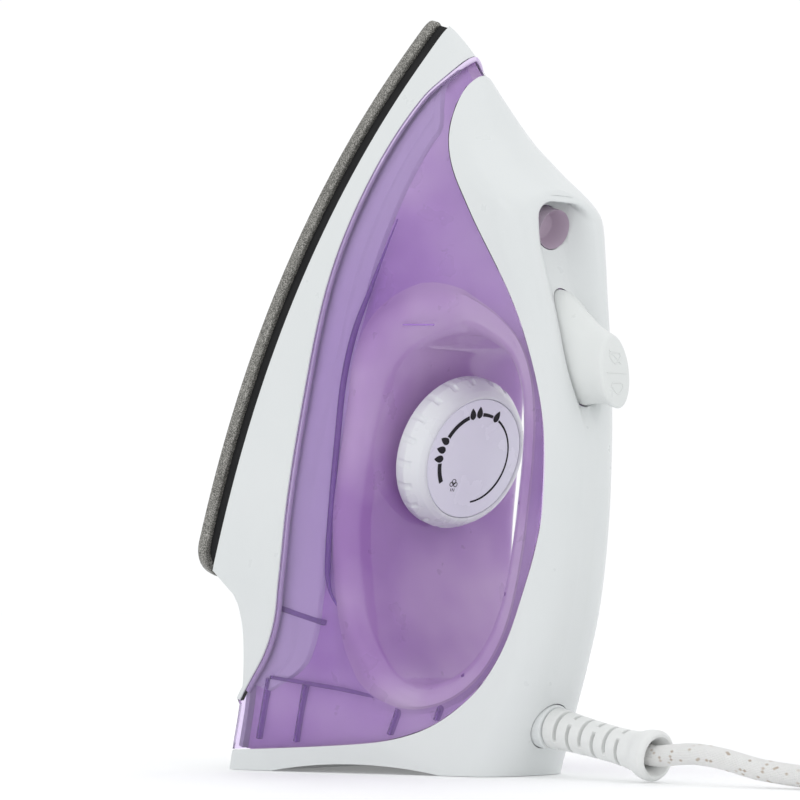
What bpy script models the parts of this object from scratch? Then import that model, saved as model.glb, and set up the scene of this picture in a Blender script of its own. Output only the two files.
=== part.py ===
"""Steam iron standing on its heel, modelled as the separate pieces it is assembled from.

Sizes are in millimetres and become metres when a mesh is made.  The iron is drawn lying on its
sole: p runs back from the sole tip, v to the side, h up from the sole face.  One empty then
stands it on its heel.  The mains lead and its plug are placed in the world frame.
"""
import math

import bmesh
import bpy
from mathutils import Vector

MM = 0.001
GAP = 0.3
WELD = 0.00001

# Stance: the sole leans back by LEAN from upright, its tip at TIP_X, TIP_Z in the world.
LEAN = math.radians(18.25)
TIP_X = -13.17
TIP_Z = 265.2

# Sole
SOLE_LENGTH = 207.0
SOLE_HALF_WIDTH = 56.2
SOLE_FULLNESS = 2.31
SOLE_SHARPNESS = 0.918
SOLE_THICKNESS = 4.7
SOLE_CORNER = 12.0
SHIELD_TOP = 9.7
SHIELD_INSET = 1.6
SKIRT_FOOT = 10.0

# Outer skin of the body, as lines along it.  q is the distance behind the prow.
PROW_FADE = 110.0
PROW = [(0, 0), (11, 0.5), (26, 8), (39, 18), (52, 28.5), (61, 34), (69, 38.5), (81, 43.2), (90, 45.5)]
RIDGE = [(0, 81), (10, 84.5), (30, 88.5), (50, 93.3), (70, 100.4), (90, 109), (114, 120), (127, 124.3),
         (150, 130.2), (175, 134.3), (195, 135), (212, 133.7), (236, 131), (275, 127)]
TOP_HALF_WIDTH = [(0, 22), (20, 24), (50, 23), (75, 19.5), (95, 17.5), (120, 17), (200, 17), (250, 16)]
TUMBLEHOME = [(0, 0.9), (70, 0.9), (110, 0.84), (150, 0.83), (180, 0.88), (205, 1.0), (240, 1.2)]
ROLL = [(0, 14), (30, 13), (60, 12), (100, 11), (250, 11)]
ROLL_POWER = 2.2
SKIRT_SEAM = [(0, 26), (10, 23.7), (23, 20.2), (51, 18.7), (88, 21.1), (132, 28.6), (171, 34.4),
              (195, 38.6), (210, 40.6), (223, 39.6), (236, 35.6), (242.4, 33.6)]
COVER_SEAM = [(0, 33), (8, 33.4), (17, 37.1), (25, 43.4), (37.7, 60), (49.5, 71), (64, 81.6), (91, 99),
              (116, 113.4), (143, 121.8), (160, 123.7), (177, 122.7), (194, 120.3), (207, 116.7),
              (217, 111.6), (227, 104), (234, 95.6), (239.5, 86), (247.4, 67.5), (260.6, 34)]
FOOT_LINE = [(203, 10), (206.6, 21), (214, 27), (224, 30.5), (240, 33.4), (262, 33.9), (285, 34.5)]
WALL = 2.2
SEAM_SPARE = 2.5

# Thumb scoop in the handle's top, with the filling hole at its front
SCOOP_DEPTH = [(10, 0), (26, 10.5), (40, 12.5), (60, 9), (80, 6), (104, 4.2), (118, 0)]
SCOOP_SHARE = [(0, 0.55), (20, 0.62), (60, 0.66), (85, 0.66), (105, 0.45), (120, 0.22), (250, 0.22)]

# Finger gap through the body in side view: its edge from the front along the floor and back
# under the handle, and the lip that the tank rolls over round it
GAP_EDGE = [(98, 72), (101, 62.5), (108, 55), (118, 52.6), (130, 53.3), (142, 54.7), (156, 56.5),
            (168, 58.4), (180, 62), (194, 67.8), (206, 75), (214.5, 84), (216.5, 92), (211.5, 100.5),
            (203, 106.5), (192, 109.8), (178, 111), (160, 109.8), (145, 107.5), (131, 105),
            (118, 101.5), (108, 96), (101, 87)]
LIP = 6.5

# Spokes of the tank's flank: place on the gap's edge, distance round the tank's own edge, and
# how many spokes there are up to the next line
TANK_LENGTH = 260.6
SPOKES = [(1.0, 0, 6), (2.7, 85, 8), (8.6, 196, 6), (10.7, 260, 1), (11.0, 262, 7), (13.2, 298, 8),
          (20.4, 412, 9), (23.7, 521.2, 1)]

# Dial, steam knob and what they drive
DIAL_P, DIAL_FACE, DIAL_RADIUS, DIAL_THICKNESS = 142.0, 70.0, 27.2, 10.7
DIAL_LIP, DIAL_FACE_RADIUS = 64.0, 21.6
DIAL_NOTCHES = 20
KNOB_P = 92.5
VALVE_P = 88.0
FILLER_P, FILLER_RADIUS = 56.5, 7.2

# Rings of the steam knob: middle p, height, half length, half width, slope
KNOB_RINGS = [(92.5, 98.0, 16.9, 8.7, 0.55), (92.5, 105.2, 17.2, 9.0, 0.55), (93.3, 111, 14.9, 7.9, 0.52),
              (94.3, 118, 12.3, 6.9, 0.48), (95.0, 124.8, 11.5, 6.9, 0.45), (95.0, 126, 10.9, 6.4, 0.45)]

REAR_SCREW_X = (-27.5, 4.5)
TANK_FLOOR = 20.5

# Cord swivel and mains lead, in the world frame
SWIVEL_AT = (29.6, 0.0, 19.6)
SWIVEL_DROOP = math.radians(9.8)
SLEEVE_RADIUS = 7.8
GUARD_START, GUARD_END = 18.8, 66.3
CORD_RADIUS = 3.5
COIL_CENTRE = (184.0, 58.0)
COIL_INNER, COIL_OUTER, COIL_HEIGHT = 27.3, 55.7, 14.4
COIL_CORNER = 2.5
LEAD_ROUTE = [(96.1, 0.0, 8.6), (102.5, 0.0, 9.3), (111.5, 0.1, 9.8), (122.5, 1.0, 8.6),
              (135.5, 3.4, 5.7), (149.0, 6.2, 4.1)]
TAIL_ROUTE = [(228.3, 65.8, 18.2), (225.5, 74.5, 18.2), (220.5, 82.5, 18.3), (213.5, 89.0, 18.9),
              (205.5, 92.8, 19.8), (196.8, 94.0, 21.6)]
PLUG_AT = (196.0, 94.0, 21.8)
PLUG_TILT = math.radians(15.5)
PLUG_LENGTH, PIN_END, PIN_SPREAD = 54.0, 73.0, 9.5


def along(points, x):
    """Value at x of the smooth line through (x, y) points."""
    if x <= points[0][0]:
        return points[0][1]
    if x >= points[-1][0]:
        return points[-1][1]
    last = len(points) - 1
    i = max(j for j in range(last) if points[j][0] <= x)

    def slope(j):
        a, b = points[max(j - 1, 0)], points[min(j + 1, last)]
        return (b[1] - a[1]) / (b[0] - a[0])

    (x0, y0), (x1, y1) = points[i], points[i + 1]
    d = x1 - x0
    t = (x - x0) / d
    rise = (3 - 2 * t) * t * t
    return y0 + (y1 - y0) * rise + d * t * (1 - t) * ((1 - t) * slope(i) - t * slope(i + 1))


def plan(q, length, fullness, sharpness):
    """Share of the full width, q behind the point of a pointed arch."""
    if q >= length:
        return 1.0
    return (1 - (1 - max(q, 0) / length) ** fullness) ** sharpness


def sole_half(p):
    """Half width of the sole's outline, with its small tip radius."""
    wide = SOLE_HALF_WIDTH * plan(p, SOLE_LENGTH, SOLE_FULLNESS, SOLE_SHARPNESS)
    return math.sqrt(wide * wide + 3 * p * math.exp(-p / 6))


def place(q, h):
    """Distance p behind the sole tip of the skin point q behind the prow at height h."""
    return q + along(PROW, h) * max(0, 1 - q / PROW_FADE) ** 2


def side_half(q, h):
    """Half width of the body's flank, before the top rolls over."""
    low = sole_half(q) - 0.5 - 4.5 * max(0, (q - 200) / 80)
    high = along(TOP_HALF_WIDTH, q) * plan(q, 30, 2, 0.5)
    t = (h - SKIRT_FOOT) / (along(RIDGE, q) - SKIRT_FOOT) / along(TUMBLEHOME, q)
    t = min(max(t, 0), 1)
    return low + (high - low) * t * t * (3 - 2 * t)


def skin_half(q, h):
    """Half width of the outer skin at height h."""
    roll = along(ROLL, q)
    x = min(max((h - along(RIDGE, q) + roll) / roll, 0), 1)
    return side_half(q, h) * (1 - x ** ROLL_POWER) ** (1 / ROLL_POWER)


def skin(q, h, inset=0.0):
    """Point on the near side of the skin."""
    return (place(q, h), -max(skin_half(q, h) - inset, 0), h)


def heel_p(h):
    """Where the plane that the iron stands on meets the height h."""
    return (TIP_Z - h * math.sin(LEAN)) / math.cos(LEAN)


def world_point(p, v, h):
    """World position, in millimetres, of a point of the lying iron."""
    s, c = math.sin(LEAN), math.cos(LEAN)
    return (TIP_X - p * s + h * c, v, TIP_Z - p * c - h * s)


def spread(start, end, count, ease=1.0):
    """Values from start to end, closer together at the start when ease is over 1."""
    return [start + (end - start) * (i / (count - 1)) ** ease for i in range(count)]


# Scene and helpers

for old in list(bpy.data.objects):
    bpy.data.objects.remove(old, do_unlink=True)

PARTS = bpy.data.collections.new("steam_iron")
CUTTERS = bpy.data.collections.new("steam_iron_cutters")
bpy.context.scene.collection.children.link(PARTS)
bpy.context.scene.collection.children.link(CUTTERS)

IRON = bpy.data.objects.new("iron_on_heel", None)
IRON.location = (TIP_X * MM, 0, TIP_Z * MM)
IRON.rotation_euler = (0, math.pi / 2 + LEAN, 0)
PARTS.objects.link(IRON)


def material(name, colour, roughness, metallic=0.0, alpha=1.0):
    made = bpy.data.materials.new(name)
    made.use_nodes = True
    shader = made.node_tree.nodes["Principled BSDF"]
    shader.inputs["Base Color"].default_value = (*colour, 1)
    shader.inputs["Roughness"].default_value = roughness
    shader.inputs["Metallic"].default_value = metallic
    shader.inputs["Alpha"].default_value = alpha
    return made


WHITE = material("housing_white", (0.80, 0.82, 0.82), 0.35)
LILAC = material("tank_lilac", (0.42, 0.25, 0.62), 0.08, alpha=0.55)
COATED = material("sole_coating", (0.10, 0.10, 0.095), 0.45, 0.3)
BLACK = material("shield_black", (0.01, 0.01, 0.011), 0.5)
CAST = material("cast_aluminium", (0.62, 0.63, 0.64), 0.4, 1.0)
STEEL = material("steel", (0.60, 0.60, 0.58), 0.3, 1.0)
BRASS = material("brass", (0.72, 0.55, 0.25), 0.3, 1.0)
DIAL_WHITE = material("dial_white", (0.78, 0.78, 0.82), 0.3)
RUBBER = material("seal_rubber", (0.55, 0.55, 0.52), 0.7)
CLOTH = material("cord_cloth", (0.78, 0.78, 0.76), 0.8)
VINYL = material("plug_vinyl", (0.80, 0.80, 0.79), 0.4)


def finish(made, paint, parent=IRON):
    """Give an object its material and parent, and shade its round faces smooth."""
    made.data.materials.clear()
    made.data.materials.append(paint)
    made.parent = parent
    if made.type == "MESH":
        made.data.shade_smooth()
        made.data.set_sharp_from_angle(angle=math.radians(35))
    return made


def mesh_object(name, points, faces):
    """Mesh object from points in millimetres."""
    data = bpy.data.meshes.new(name)
    data.from_pydata([(x * MM, y * MM, z * MM) for x, y, z in points], [], faces)
    data.update()
    made = bpy.data.objects.new(name, data)
    PARTS.objects.link(made)
    return made


def weld(made, distance=0.02):
    """Merge points that coincide and drop the faces that vanish with them."""
    work = bmesh.new()
    work.from_mesh(made.data)
    bmesh.ops.remove_doubles(work, verts=work.verts, dist=distance * MM)
    bmesh.ops.dissolve_degenerate(work, edges=work.edges, dist=distance * MM)
    work.to_mesh(made.data)
    work.free()


def grid_sheet(name, rows, closed=False):
    """Open sheet through rows of points; closed joins the last row to the first."""
    wide = len(rows[0])
    points = [point for row in rows for point in row]
    faces = []
    for i in range(len(rows) if closed else len(rows) - 1):
        a, b = i * wide, ((i + 1) % len(rows)) * wide
        for j in range(wide - 1):
            faces.append((a + j, b + j, b + j + 1, a + j + 1))
    made = mesh_object(name, points, faces)
    weld(made)
    return made


def mirrored(made):
    """Add the far side of a sheet that is open at the middle plane."""
    twin = made.modifiers.new("both_sides", "MIRROR")
    twin.use_axis = (False, True, False)
    twin.use_clip = True
    twin.merge_threshold = WELD
    return made


def thicken(made, wall=WALL):
    """Give a sheet its wall, on the side that its normals point away from."""
    shell = made.modifiers.new("wall", "SOLIDIFY")
    shell.thickness = wall * MM
    shell.offset = -1
    shell.use_even_offset = True
    shell.thickness_clamp = 0
    return made


def cut(made, cutter):
    tool = made.modifiers.new("cut_" + cutter.name, "BOOLEAN")
    tool.operation = "DIFFERENCE"
    tool.solver = "EXACT"
    tool.object = cutter
    return made


def as_cutter(made, parent=IRON):
    made.parent = parent
    for collection in list(made.users_collection):
        collection.objects.unlink(made)
    CUTTERS.objects.link(made)
    made.hide_render = True
    made.display_type = "WIRE"
    return made


def as_mesh(made):
    """Replace a curve object by its mesh, with the caps welded on."""
    view = bpy.context.evaluated_depsgraph_get()
    data = bpy.data.meshes.new_from_object(made.evaluated_get(view))
    work = bmesh.new()
    work.from_mesh(data)
    bmesh.ops.remove_doubles(work, verts=work.verts, dist=WELD)
    bmesh.ops.recalc_face_normals(work, faces=work.faces)
    work.to_mesh(data)
    work.free()
    solid = bpy.data.objects.new(made.name, data)
    solid.matrix_world = made.matrix_world
    name = made.name
    for collection in list(made.users_collection):
        collection.objects.link(solid)
    bpy.data.objects.remove(made, do_unlink=True)
    solid.name = name
    return solid


def plate(name, outline, low, high, holes=()):
    """Flat solid between two heights, its outline and holes given as (x, y) loops."""
    curve = bpy.data.curves.new(name, "CURVE")
    curve.dimensions = "2D"
    curve.fill_mode = "BOTH"
    curve.extrude = (high - low) / 2 * MM
    for loop in (outline, *holes):
        spline = curve.splines.new("POLY")
        spline.points.add(len(loop) - 1)
        spline.use_cyclic_u = True
        for point, (x, y) in zip(spline.points, loop):
            point.co = (x * MM, y * MM, 0, 1)
    made = bpy.data.objects.new(name, curve)
    made.location = (0, 0, (low + high) / 2 * MM)
    PARTS.objects.link(made)
    bpy.context.view_layer.update()
    return as_mesh(made)


def circle(x, y, radius, steps=16):
    return [(x + radius * math.cos(2 * math.pi * i / steps),
             y + radius * math.sin(2 * math.pi * i / steps)) for i in range(steps)]


def oval(x, y, long, wide, steps=20):
    return [(x + long * math.cos(2 * math.pi * i / steps),
             y + wide * math.sin(2 * math.pi * i / steps)) for i in range(steps)]


def turned(name, profile, at, steps=20, direction=(0, 0, 1)):
    """Solid turned about a line through at; profile runs down its outer side as (radius, height)."""
    data = bpy.data.meshes.new(name)
    points = [(radius * MM, 0, height * MM) for radius, height in profile]
    data.from_pydata(points, [(i, i + 1) for i in range(len(points) - 1)], [])
    made = bpy.data.objects.new(name, data)
    PARTS.objects.link(made)
    made.location = Vector(at) * MM
    made.rotation_mode = "QUATERNION"
    made.rotation_quaternion = Vector((0, 0, 1)).rotation_difference(Vector(direction))
    spin = made.modifiers.new("turn", "SCREW")
    spin.steps = steps
    spin.render_steps = steps
    spin.use_merge_vertices = True
    spin.merge_threshold = WELD
    spin.use_smooth_shade = True
    return made


def rod(name, radius, low, high, at, steps=12, direction=(0, 0, 1)):
    profile = [(0, high), (radius, high), (radius, low), (0, low)]
    return turned(name, profile, at, steps, direction)


def tube(name, points, radius):
    """Round bar along points in millimetres."""
    curve = bpy.data.curves.new(name, "CURVE")
    curve.dimensions = "3D"
    curve.bevel_depth = radius * MM
    curve.bevel_resolution = 2
    curve.use_fill_caps = True
    spline = curve.splines.new("POLY")
    spline.points.add(len(points) - 1)
    for point, (x, y, z) in zip(spline.points, points):
        point.co = (x * MM, y * MM, z * MM, 1)
    made = bpy.data.objects.new(name, curve)
    PARTS.objects.link(made)
    return made


def smooth_route(route, step):
    """Points about a step apart on the smooth curve through a route."""
    knots = [0.0]
    for a, b in zip(route, route[1:]):
        knots.append(knots[-1] + math.dist(a, b))
    count = max(2, round(knots[-1] / step) + 1)
    lines = [list(zip(knots, [point[axis] for point in route])) for axis in range(3)]
    return [tuple(along(line, s) for line in lines) for s in spread(0, knots[-1], count)]


# Sole and heater

def sole_outline(inset=0.0, count=22):
    """Outline of the sole, drawn in by inset; the tip sharpens and the rear corners are round."""
    shrink = 1.12 * inset
    tip = 0.0
    while sole_half(tip) < shrink:
        tip += 0.25
    rear = SOLE_LENGTH - inset
    near = []
    for p in spread(tip, rear, count, 1.35):
        corner = max(0, p - rear + SOLE_CORNER)
        trim = SOLE_CORNER - math.sqrt(max(SOLE_CORNER ** 2 - corner ** 2, 0))
        near.append((p, -max(sole_half(p) - shrink - trim, 0)))
    for angle in (60, 30):
        lean = math.radians(angle)
        wide = sole_half(rear) - shrink - SOLE_CORNER * (1 - math.cos(lean))
        near.insert(-1, (rear - SOLE_CORNER * (1 - math.sin(lean)), -wide))
    near = sorted(set(near))
    far = [(p, -v) for p, v in reversed(near) if v < -0.01]
    return near + far


def steam_vents():
    """Centres of the sole's steam holes: two rows along its edges and one by the tip."""
    centres = [(20, 0)]
    for p in (32, 46, 61, 77, 94, 112):
        for side in (-1, 1):
            centres.append((p, side * (sole_half(p) - 10.5)))
    return centres


def soleplate():
    vents = [circle(p, v, 1.6, 8) for p, v in steam_vents()]
    return finish(plate("soleplate", sole_outline(), 0, SOLE_THICKNESS, vents), COATED)


def heat_shield():
    low = SOLE_THICKNESS + GAP
    ring = plate("heat_shield", sole_outline(SHIELD_INSET), low, SHIELD_TOP, [sole_outline(5.0)])
    return finish(ring, BLACK)


def heater_casting():
    """Block on the sole with the steam chamber's pocket in its top."""
    block = plate("heater_casting", sole_outline(17.0, 16), SOLE_THICKNESS + GAP, 11.0)
    pocket = as_cutter(plate("steam_pocket", oval(82, 0, 24, 12), 7.5, 12.0))
    return finish(cut(block, pocket), CAST)


def chamber_lid():
    lid = plate("chamber_lid", oval(82, 0, 30, 17, 28), 11.3, 12.5, [circle(VALVE_P, 0, 2.5, 12)])
    return finish(lid, CAST)


def heating_element():
    side = [(197, -43.5, 8.4), (175, -43.6, 8.4), (150, -41.3, 8.4), (100, -31.8, 8.4), (60, -20, 8.4),
            (40, -11.8, 8.4), (29, -6.2, 8.4)]
    route = side + [(24.8, 0, 8.4)] + [(p, -v, h) for p, v, h in reversed(side)]
    return finish(tube("heating_element", smooth_route(route, 11), 3.1), STEEL)


def thermostat():
    profile = [(0, 18.3), (6, 18.3), (6, 16.2), (10.5, 16.2), (10.5, 11.3), (0, 11.3)]
    return finish(turned("thermostat", profile, (DIAL_P, 0, 0), 20), STEEL)


def thermal_fuse():
    return finish(rod("thermal_fuse", 2.4, -9, 9, (174, 0, 13.9), 12, (0, 1, 0)), STEEL)


# Body shells

def lower_skirt():
    """White skirt round the heater, from the nose to where it tapers out near the heel."""
    rows = []
    for q in spread(0, 242.4, 34, 1.25):
        foot = along(FOOT_LINE, q)
        top = along(SKIRT_SEAM, q) + SEAM_SPARE
        rows.append([skin(q, foot + (top - foot) * t) for t in (0, 0.5, 1)])
    shell = mirrored(grid_sheet("lower_skirt", rows))
    thicken(shell)
    above = beside(skirt_seam_line(), -GAP / 2) + [(300, 33), (300, 60), (-40, 60)]
    cut(shell, side_prism("above_skirt_seam", above))
    cut(shell, as_cutter(box_solid("below_skirt", (100, 0, 0), (300, 200, 2 * SKIRT_FOOT))))
    return finish(shell, WHITE)


def cover_seam_line():
    """Seam between the tank and the cover in side view, run on past the nose and the heel."""
    line = [(-40, COVER_SEAM[0][1])]
    for q in spread(0, 260.6, 50):
        h = along(COVER_SEAM, q)
        line.append((place(q, h), h))
    return line + [(261.5, 30), (300, 30)]


def skirt_seam_line():
    line = [(-40, SKIRT_SEAM[0][1])]
    for q in spread(0, 242.4, 40):
        h = along(SKIRT_SEAM, q)
        line.append((place(q, h), h))
    return line


def beside(line, distance):
    """Line moved sideways, to its left as it runs."""
    moved = []
    last = len(line) - 1
    for i, (x, y) in enumerate(line):
        before, after = line[max(i - 1, 0)], line[min(i + 1, last)]
        dx, dy = after[0] - before[0], after[1] - before[1]
        size = math.hypot(dx, dy)
        moved.append((x - dy / size * distance, y + dx / size * distance))
    return moved


def side_prism(name, outline):
    """Cutter right across the body from an outline in side view."""
    made = plate(name, outline, -90, 90)
    made.rotation_euler = (math.pi / 2, 0, 0)
    return as_cutter(made)


def tank_edge(e):
    """Edge of the tank sheet as (q, h), a little past its seams; e runs back and forward again."""
    if e <= TANK_LENGTH:
        return (e, along(SKIRT_SEAM, e) - SEAM_SPARE if e < 242.4 else along(FOOT_LINE, e))
    q = 2 * TANK_LENGTH - e
    nose = COVER_SEAM[0][1] + 0.72 * q if q < 40 else 0
    return (q, max(along(COVER_SEAM, q), nose) + SEAM_SPARE)


def gap_edge(g, out=0.0):
    """Point on the finger gap's edge, g counting its corners, or a distance outside it."""
    count = len(GAP_EDGE)
    around = [(k, GAP_EDGE[k % count]) for k in range(-2, 2 * count)]
    xs = [(k, point[0]) for k, point in around]
    hs = [(k, point[1]) for k, point in around]
    step = 0.05
    dx = along(xs, g + step) - along(xs, g - step)
    dh = along(hs, g + step) - along(hs, g - step)
    size = math.hypot(dx, dh)
    return (along(xs, g) + dh / size * out, along(hs, g) - dx / size * out)


def spokes():
    for (g0, e0, count), (g1, e1, _) in zip(SPOKES, SPOKES[1:]):
        for i in range(count):
            yield g0 + (g1 - g0) * i / count, e0 + (e1 - e0) * i / count
    yield SPOKES[-1][0], SPOKES[-1][1]


def tank_shell():
    """Clear lilac shell: the flanks, the lining of the finger gap and its rolled lip."""
    rows = []
    for g, e in spokes():
        p, h = gap_edge(g, LIP)
        flank = skin_half(p, h)
        q_edge, h_edge = tank_edge(e)
        row = [skin(p + (q_edge - p) * t, h + (h_edge - h) * t) for t in (1.0, 0.8, 0.5, 0.2)]
        for turn in (90, 60, 30, 0):
            lean = math.radians(turn)
            p, h = gap_edge(g, LIP * (1 - math.cos(lean)))
            row.append((p, LIP - LIP * math.sin(lean) - flank, h))
        p, h = gap_edge(g)
        row.append((p, 0, h))
        rows.append(row)
    shell = mirrored(grid_sheet("tank_shell", rows, closed=True))
    thicken(shell)
    above = beside(cover_seam_line(), -GAP / 2) + [(300, 160), (-40, 160)]
    below = beside(skirt_seam_line(), GAP / 2) + [(242.4, 0), (-40, 0)]
    cut(shell, side_prism("above_cover_seam", above))
    cut(shell, side_prism("below_skirt_seam", below))
    cut(shell, as_cutter(rod("dial_well_hole", 7.1, 45, 60, (DIAL_P, 0, 0), 16)))
    return finish(shell, LILAC)


def upper_cover():
    """White cover: nose, hood, thumb scoop, handle top and the band round the heel."""
    rows = []
    stations = spread(0, 230, 30, 1.2) + [236, 241, 246, 251, 256, 261, 266, 272]
    for q in stations:
        low = along(COVER_SEAM, q) - SEAM_SPARE if q < 260.6 else along(FOOT_LINE, q)
        rows.append(cover_line(q, low, 8, 5))
    shell = mirrored(grid_sheet("upper_cover", rows))
    thicken(shell)
    below = beside(cover_seam_line(), GAP / 2)
    below += [(300, 0), (-40, 0)]
    for cutter in (side_prism("below_cover_seam", below), heel_plane(), arch_cutter(), swivel_hole(),
                   filler_hole(), knob_hole()):
        cut(shell, cutter)
    return finish(shell, WHITE)


def cover_line(q, low, side_count, scoop_count):
    """Section of the cover at station q, from height low up the flank and over to the middle."""
    top, roll = along(RIDGE, q), along(ROLL, q)
    upright = max(top - roll - low, 0)
    start = math.asin(min(max((low - top + roll) / roll, 0), 1))
    shoulder = side_half(q, top - roll)
    flat = shoulder * along(SCOOP_SHARE, q)
    line = []
    for s in spread(0, upright + roll * (math.pi / 2 - start), side_count):
        if s <= upright:
            line.append(skin(q, low + s))
            continue
        lean = start + (s - upright) / roll
        h = top - roll + roll * math.sin(lean)
        line.append((place(q, h), -(flat + (shoulder - flat) * math.cos(lean)), h))
    for i in range(1, scoop_count + 1):
        t = i / scoop_count
        h = top - along(SCOOP_DEPTH, q) * math.sin(math.pi / 2 * min(t * 1.3, 1)) ** 2
        line.append((place(q, h), -flat * (1 - t), h))
    return line


def box_solid(name, centre, size):
    """Box from its centre and size in millimetres."""
    work = bmesh.new()
    bmesh.ops.create_cube(work, size=1)
    bmesh.ops.scale(work, vec=[s * MM for s in size], verts=work.verts)
    data = bpy.data.meshes.new(name)
    work.to_mesh(data)
    work.free()
    made = bpy.data.objects.new(name, data)
    made.location = Vector(centre) * MM
    PARTS.objects.link(made)
    return made


def heel_plane():
    """Everything below the plane that the iron stands on."""
    return as_cutter(box_solid("below_heel", (22.5, 0, -50), (400, 300, 100)), None)


def arch_cutter():
    """Shallow arch under each flank, so that the heel stands on its ends."""
    radius = 170.0
    bar = rod("heel_arch", radius, -80, 80, (-15.5, 0, 3.0 - radius), 64, (0, 1, 0))
    return as_cutter(bar, None)


def swivel_axis():
    return (math.cos(SWIVEL_DROOP), 0, -math.sin(SWIVEL_DROOP))


def swivel_hole():
    return as_cutter(rod("swivel_hole", SLEEVE_RADIUS + GAP, 3, 40, SWIVEL_AT, 32, swivel_axis()), None)


def filler_hole():
    return as_cutter(rod("filler_hole", FILLER_RADIUS, 62, 95, (FILLER_P, 0, 0), 20))


def knob_hole():
    return as_cutter(plate("knob_hole", oval(KNOB_P, 0, 17.7, 9.5, 24), 84, 130))


def heel_outline(inset):
    """Outline of the body on a level cut just above the table, in the world frame."""
    near = []
    for h in spread(35.5, 118, 12) + [123, 127, 129.6]:
        p = heel_p(h)
        x, v, z = world_point(*skin(p, h, inset))
        near.append((x, v))
    return near + [(x, -v) for x, v in reversed(near)]


def rear_cover():
    """Plate that closes the heel, with the two raised bars that the iron rests on."""
    cover = plate("rear_cover", heel_outline(WALL + 1.2), 4.0, 6.6)
    screws = [as_cutter(rod(f"rear_screw_hole_{i}", 1.9, 0, 12, (x, 0, 0), 12), None)
              for i, x in enumerate(REAR_SCREW_X)]
    for cutter in screws:
        cut(cover, cutter)
    for name, outline in (("front_rest", [(-58.5, -38), (-50.5, -38), (-50.5, 38), (-58.5, 38)]),
                          ("rear_rest", [(16.5, -12), (26.5, -9), (26.5, 9), (16.5, 12)])):
        bar = as_cutter(plate(name, outline, 0.0, 4.5), None)
        join = cover.modifiers.new("join_" + name, "BOOLEAN")
        join.operation = "UNION"
        join.solver = "EXACT"
        join.object = bar
    return finish(cover, WHITE, None)


def rear_screw(i, x):
    profile = [(0, 13), (1.5, 13), (1.5, 3.7), (3.3, 3.7), (3.3, 2.0), (0, 2.0)]
    return finish(turned(f"rear_screw_{i + 1}", profile, (x, 0, 0), 12), STEEL, None)


def heel_underside():
    """Panel under the body between the sole's rear edge and the heel."""
    rows = []
    for q in spread(209.5, 259, 9):
        h = along(FOOT_LINE, q)
        half = skin_half(q, h) - WALL - 0.8
        rows.append([(q, -half * t, h + 0.5) for t in (0, 0.5, 1)])
    panel = mirrored(grid_sheet("heel_underside", rows))
    return finish(thicken(panel, 2.0), WHITE)


# Inside the tank

def tank_base():
    """Welded-in lower half of the tank: a shallow tray with an upright rim."""
    rows = []
    rim = [(0, 30), (20, 32), (60, 40), (120, 46), (204, 52)]
    for q in spread(23, 204, 16, 1.2):
        wide = skin_half(q, TANK_FLOOR) - WALL - 1.2
        top = along(rim, q)
        line = [(place(q, TANK_FLOOR), -wide * t, TANK_FLOOR) for t in (0, 0.5, 0.9)]
        line.append(skin(q, TANK_FLOOR + 3, WALL + 1.6))
        line.append(skin(q, top, WALL + 1.6))
        rows.append(line)
    tray = mirrored(grid_sheet("tank_base", rows))
    thicken(tray, 1.8)
    cut(tray, as_cutter(rod("shaft_hole", 4.2, 10, 30, (DIAL_P, 0, 0), 12)))
    cut(tray, as_cutter(rod("valve_hole", 5.4, 10, 30, (VALVE_P, 0, 0), 12)))
    return finish(tray, LILAC)


def upright_plate(name, p, heights, inset, wall):
    """Plate across the body at p, between two heights and just inside the shell."""
    near = [(-(skin_half(p, h) - inset), h) for h in spread(*heights, 6)]
    outline = near + [(-v, h) for v, h in reversed(near)]
    made = plate(name, outline, -wall / 2, wall / 2)
    made.rotation_euler = (math.pi / 2, 0, math.pi / 2)
    made.location = (p * MM, 0, 0)
    return made


def tank_bulkhead():
    return finish(upright_plate("tank_bulkhead", 206.4, (24, 56), WALL + 1.2, 1.8), LILAC)


def tank_top():
    """Lid of the tank under the cover's nose, with the hole for the filler."""
    rows = []
    for q in spread(14, 68, 8):
        h = along(COVER_SEAM, q) - 2.0
        half = skin_half(q, h) - WALL - 2.6
        rows.append([(place(q, h), -half * (1 - t), h) for t in (0, 0.5, 1)])
    lid = mirrored(grid_sheet("tank_top", rows))
    thicken(lid, 1.6)
    cut(lid, as_cutter(rod("filler_pass", FILLER_RADIUS, 40, 84, (FILLER_P, 0, 0), 16)))
    return finish(lid, LILAC)


def filler_neck():
    profile = [(5.4, 73), (6.7, 73), (6.7, 46), (5.4, 46), (5.4, 73)]
    return finish(turned("filler_neck", profile, (FILLER_P, 0, 0), 20), LILAC)


def dial_well():
    """Dry tube that takes the dial's hub and shaft down through the water."""
    profile = [(7.3, 50.4), (8.8, 50.4), (8.8, 23), (7.3, 23), (7.3, 50.4)]
    return finish(turned("dial_well", profile, (DIAL_P, 0, 0), 20), LILAC)


def valve_seat():
    profile = [(2.4, 27), (5.0, 27), (5.0, 25.4), (7.5, 25.4), (7.5, 22.7), (5.0, 22.7), (5.0, 12.8),
               (2.4, 12.8), (2.4, 27)]
    return finish(turned("valve_seat", profile, (VALVE_P, 0, 0), 16), RUBBER)


# Controls

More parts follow.
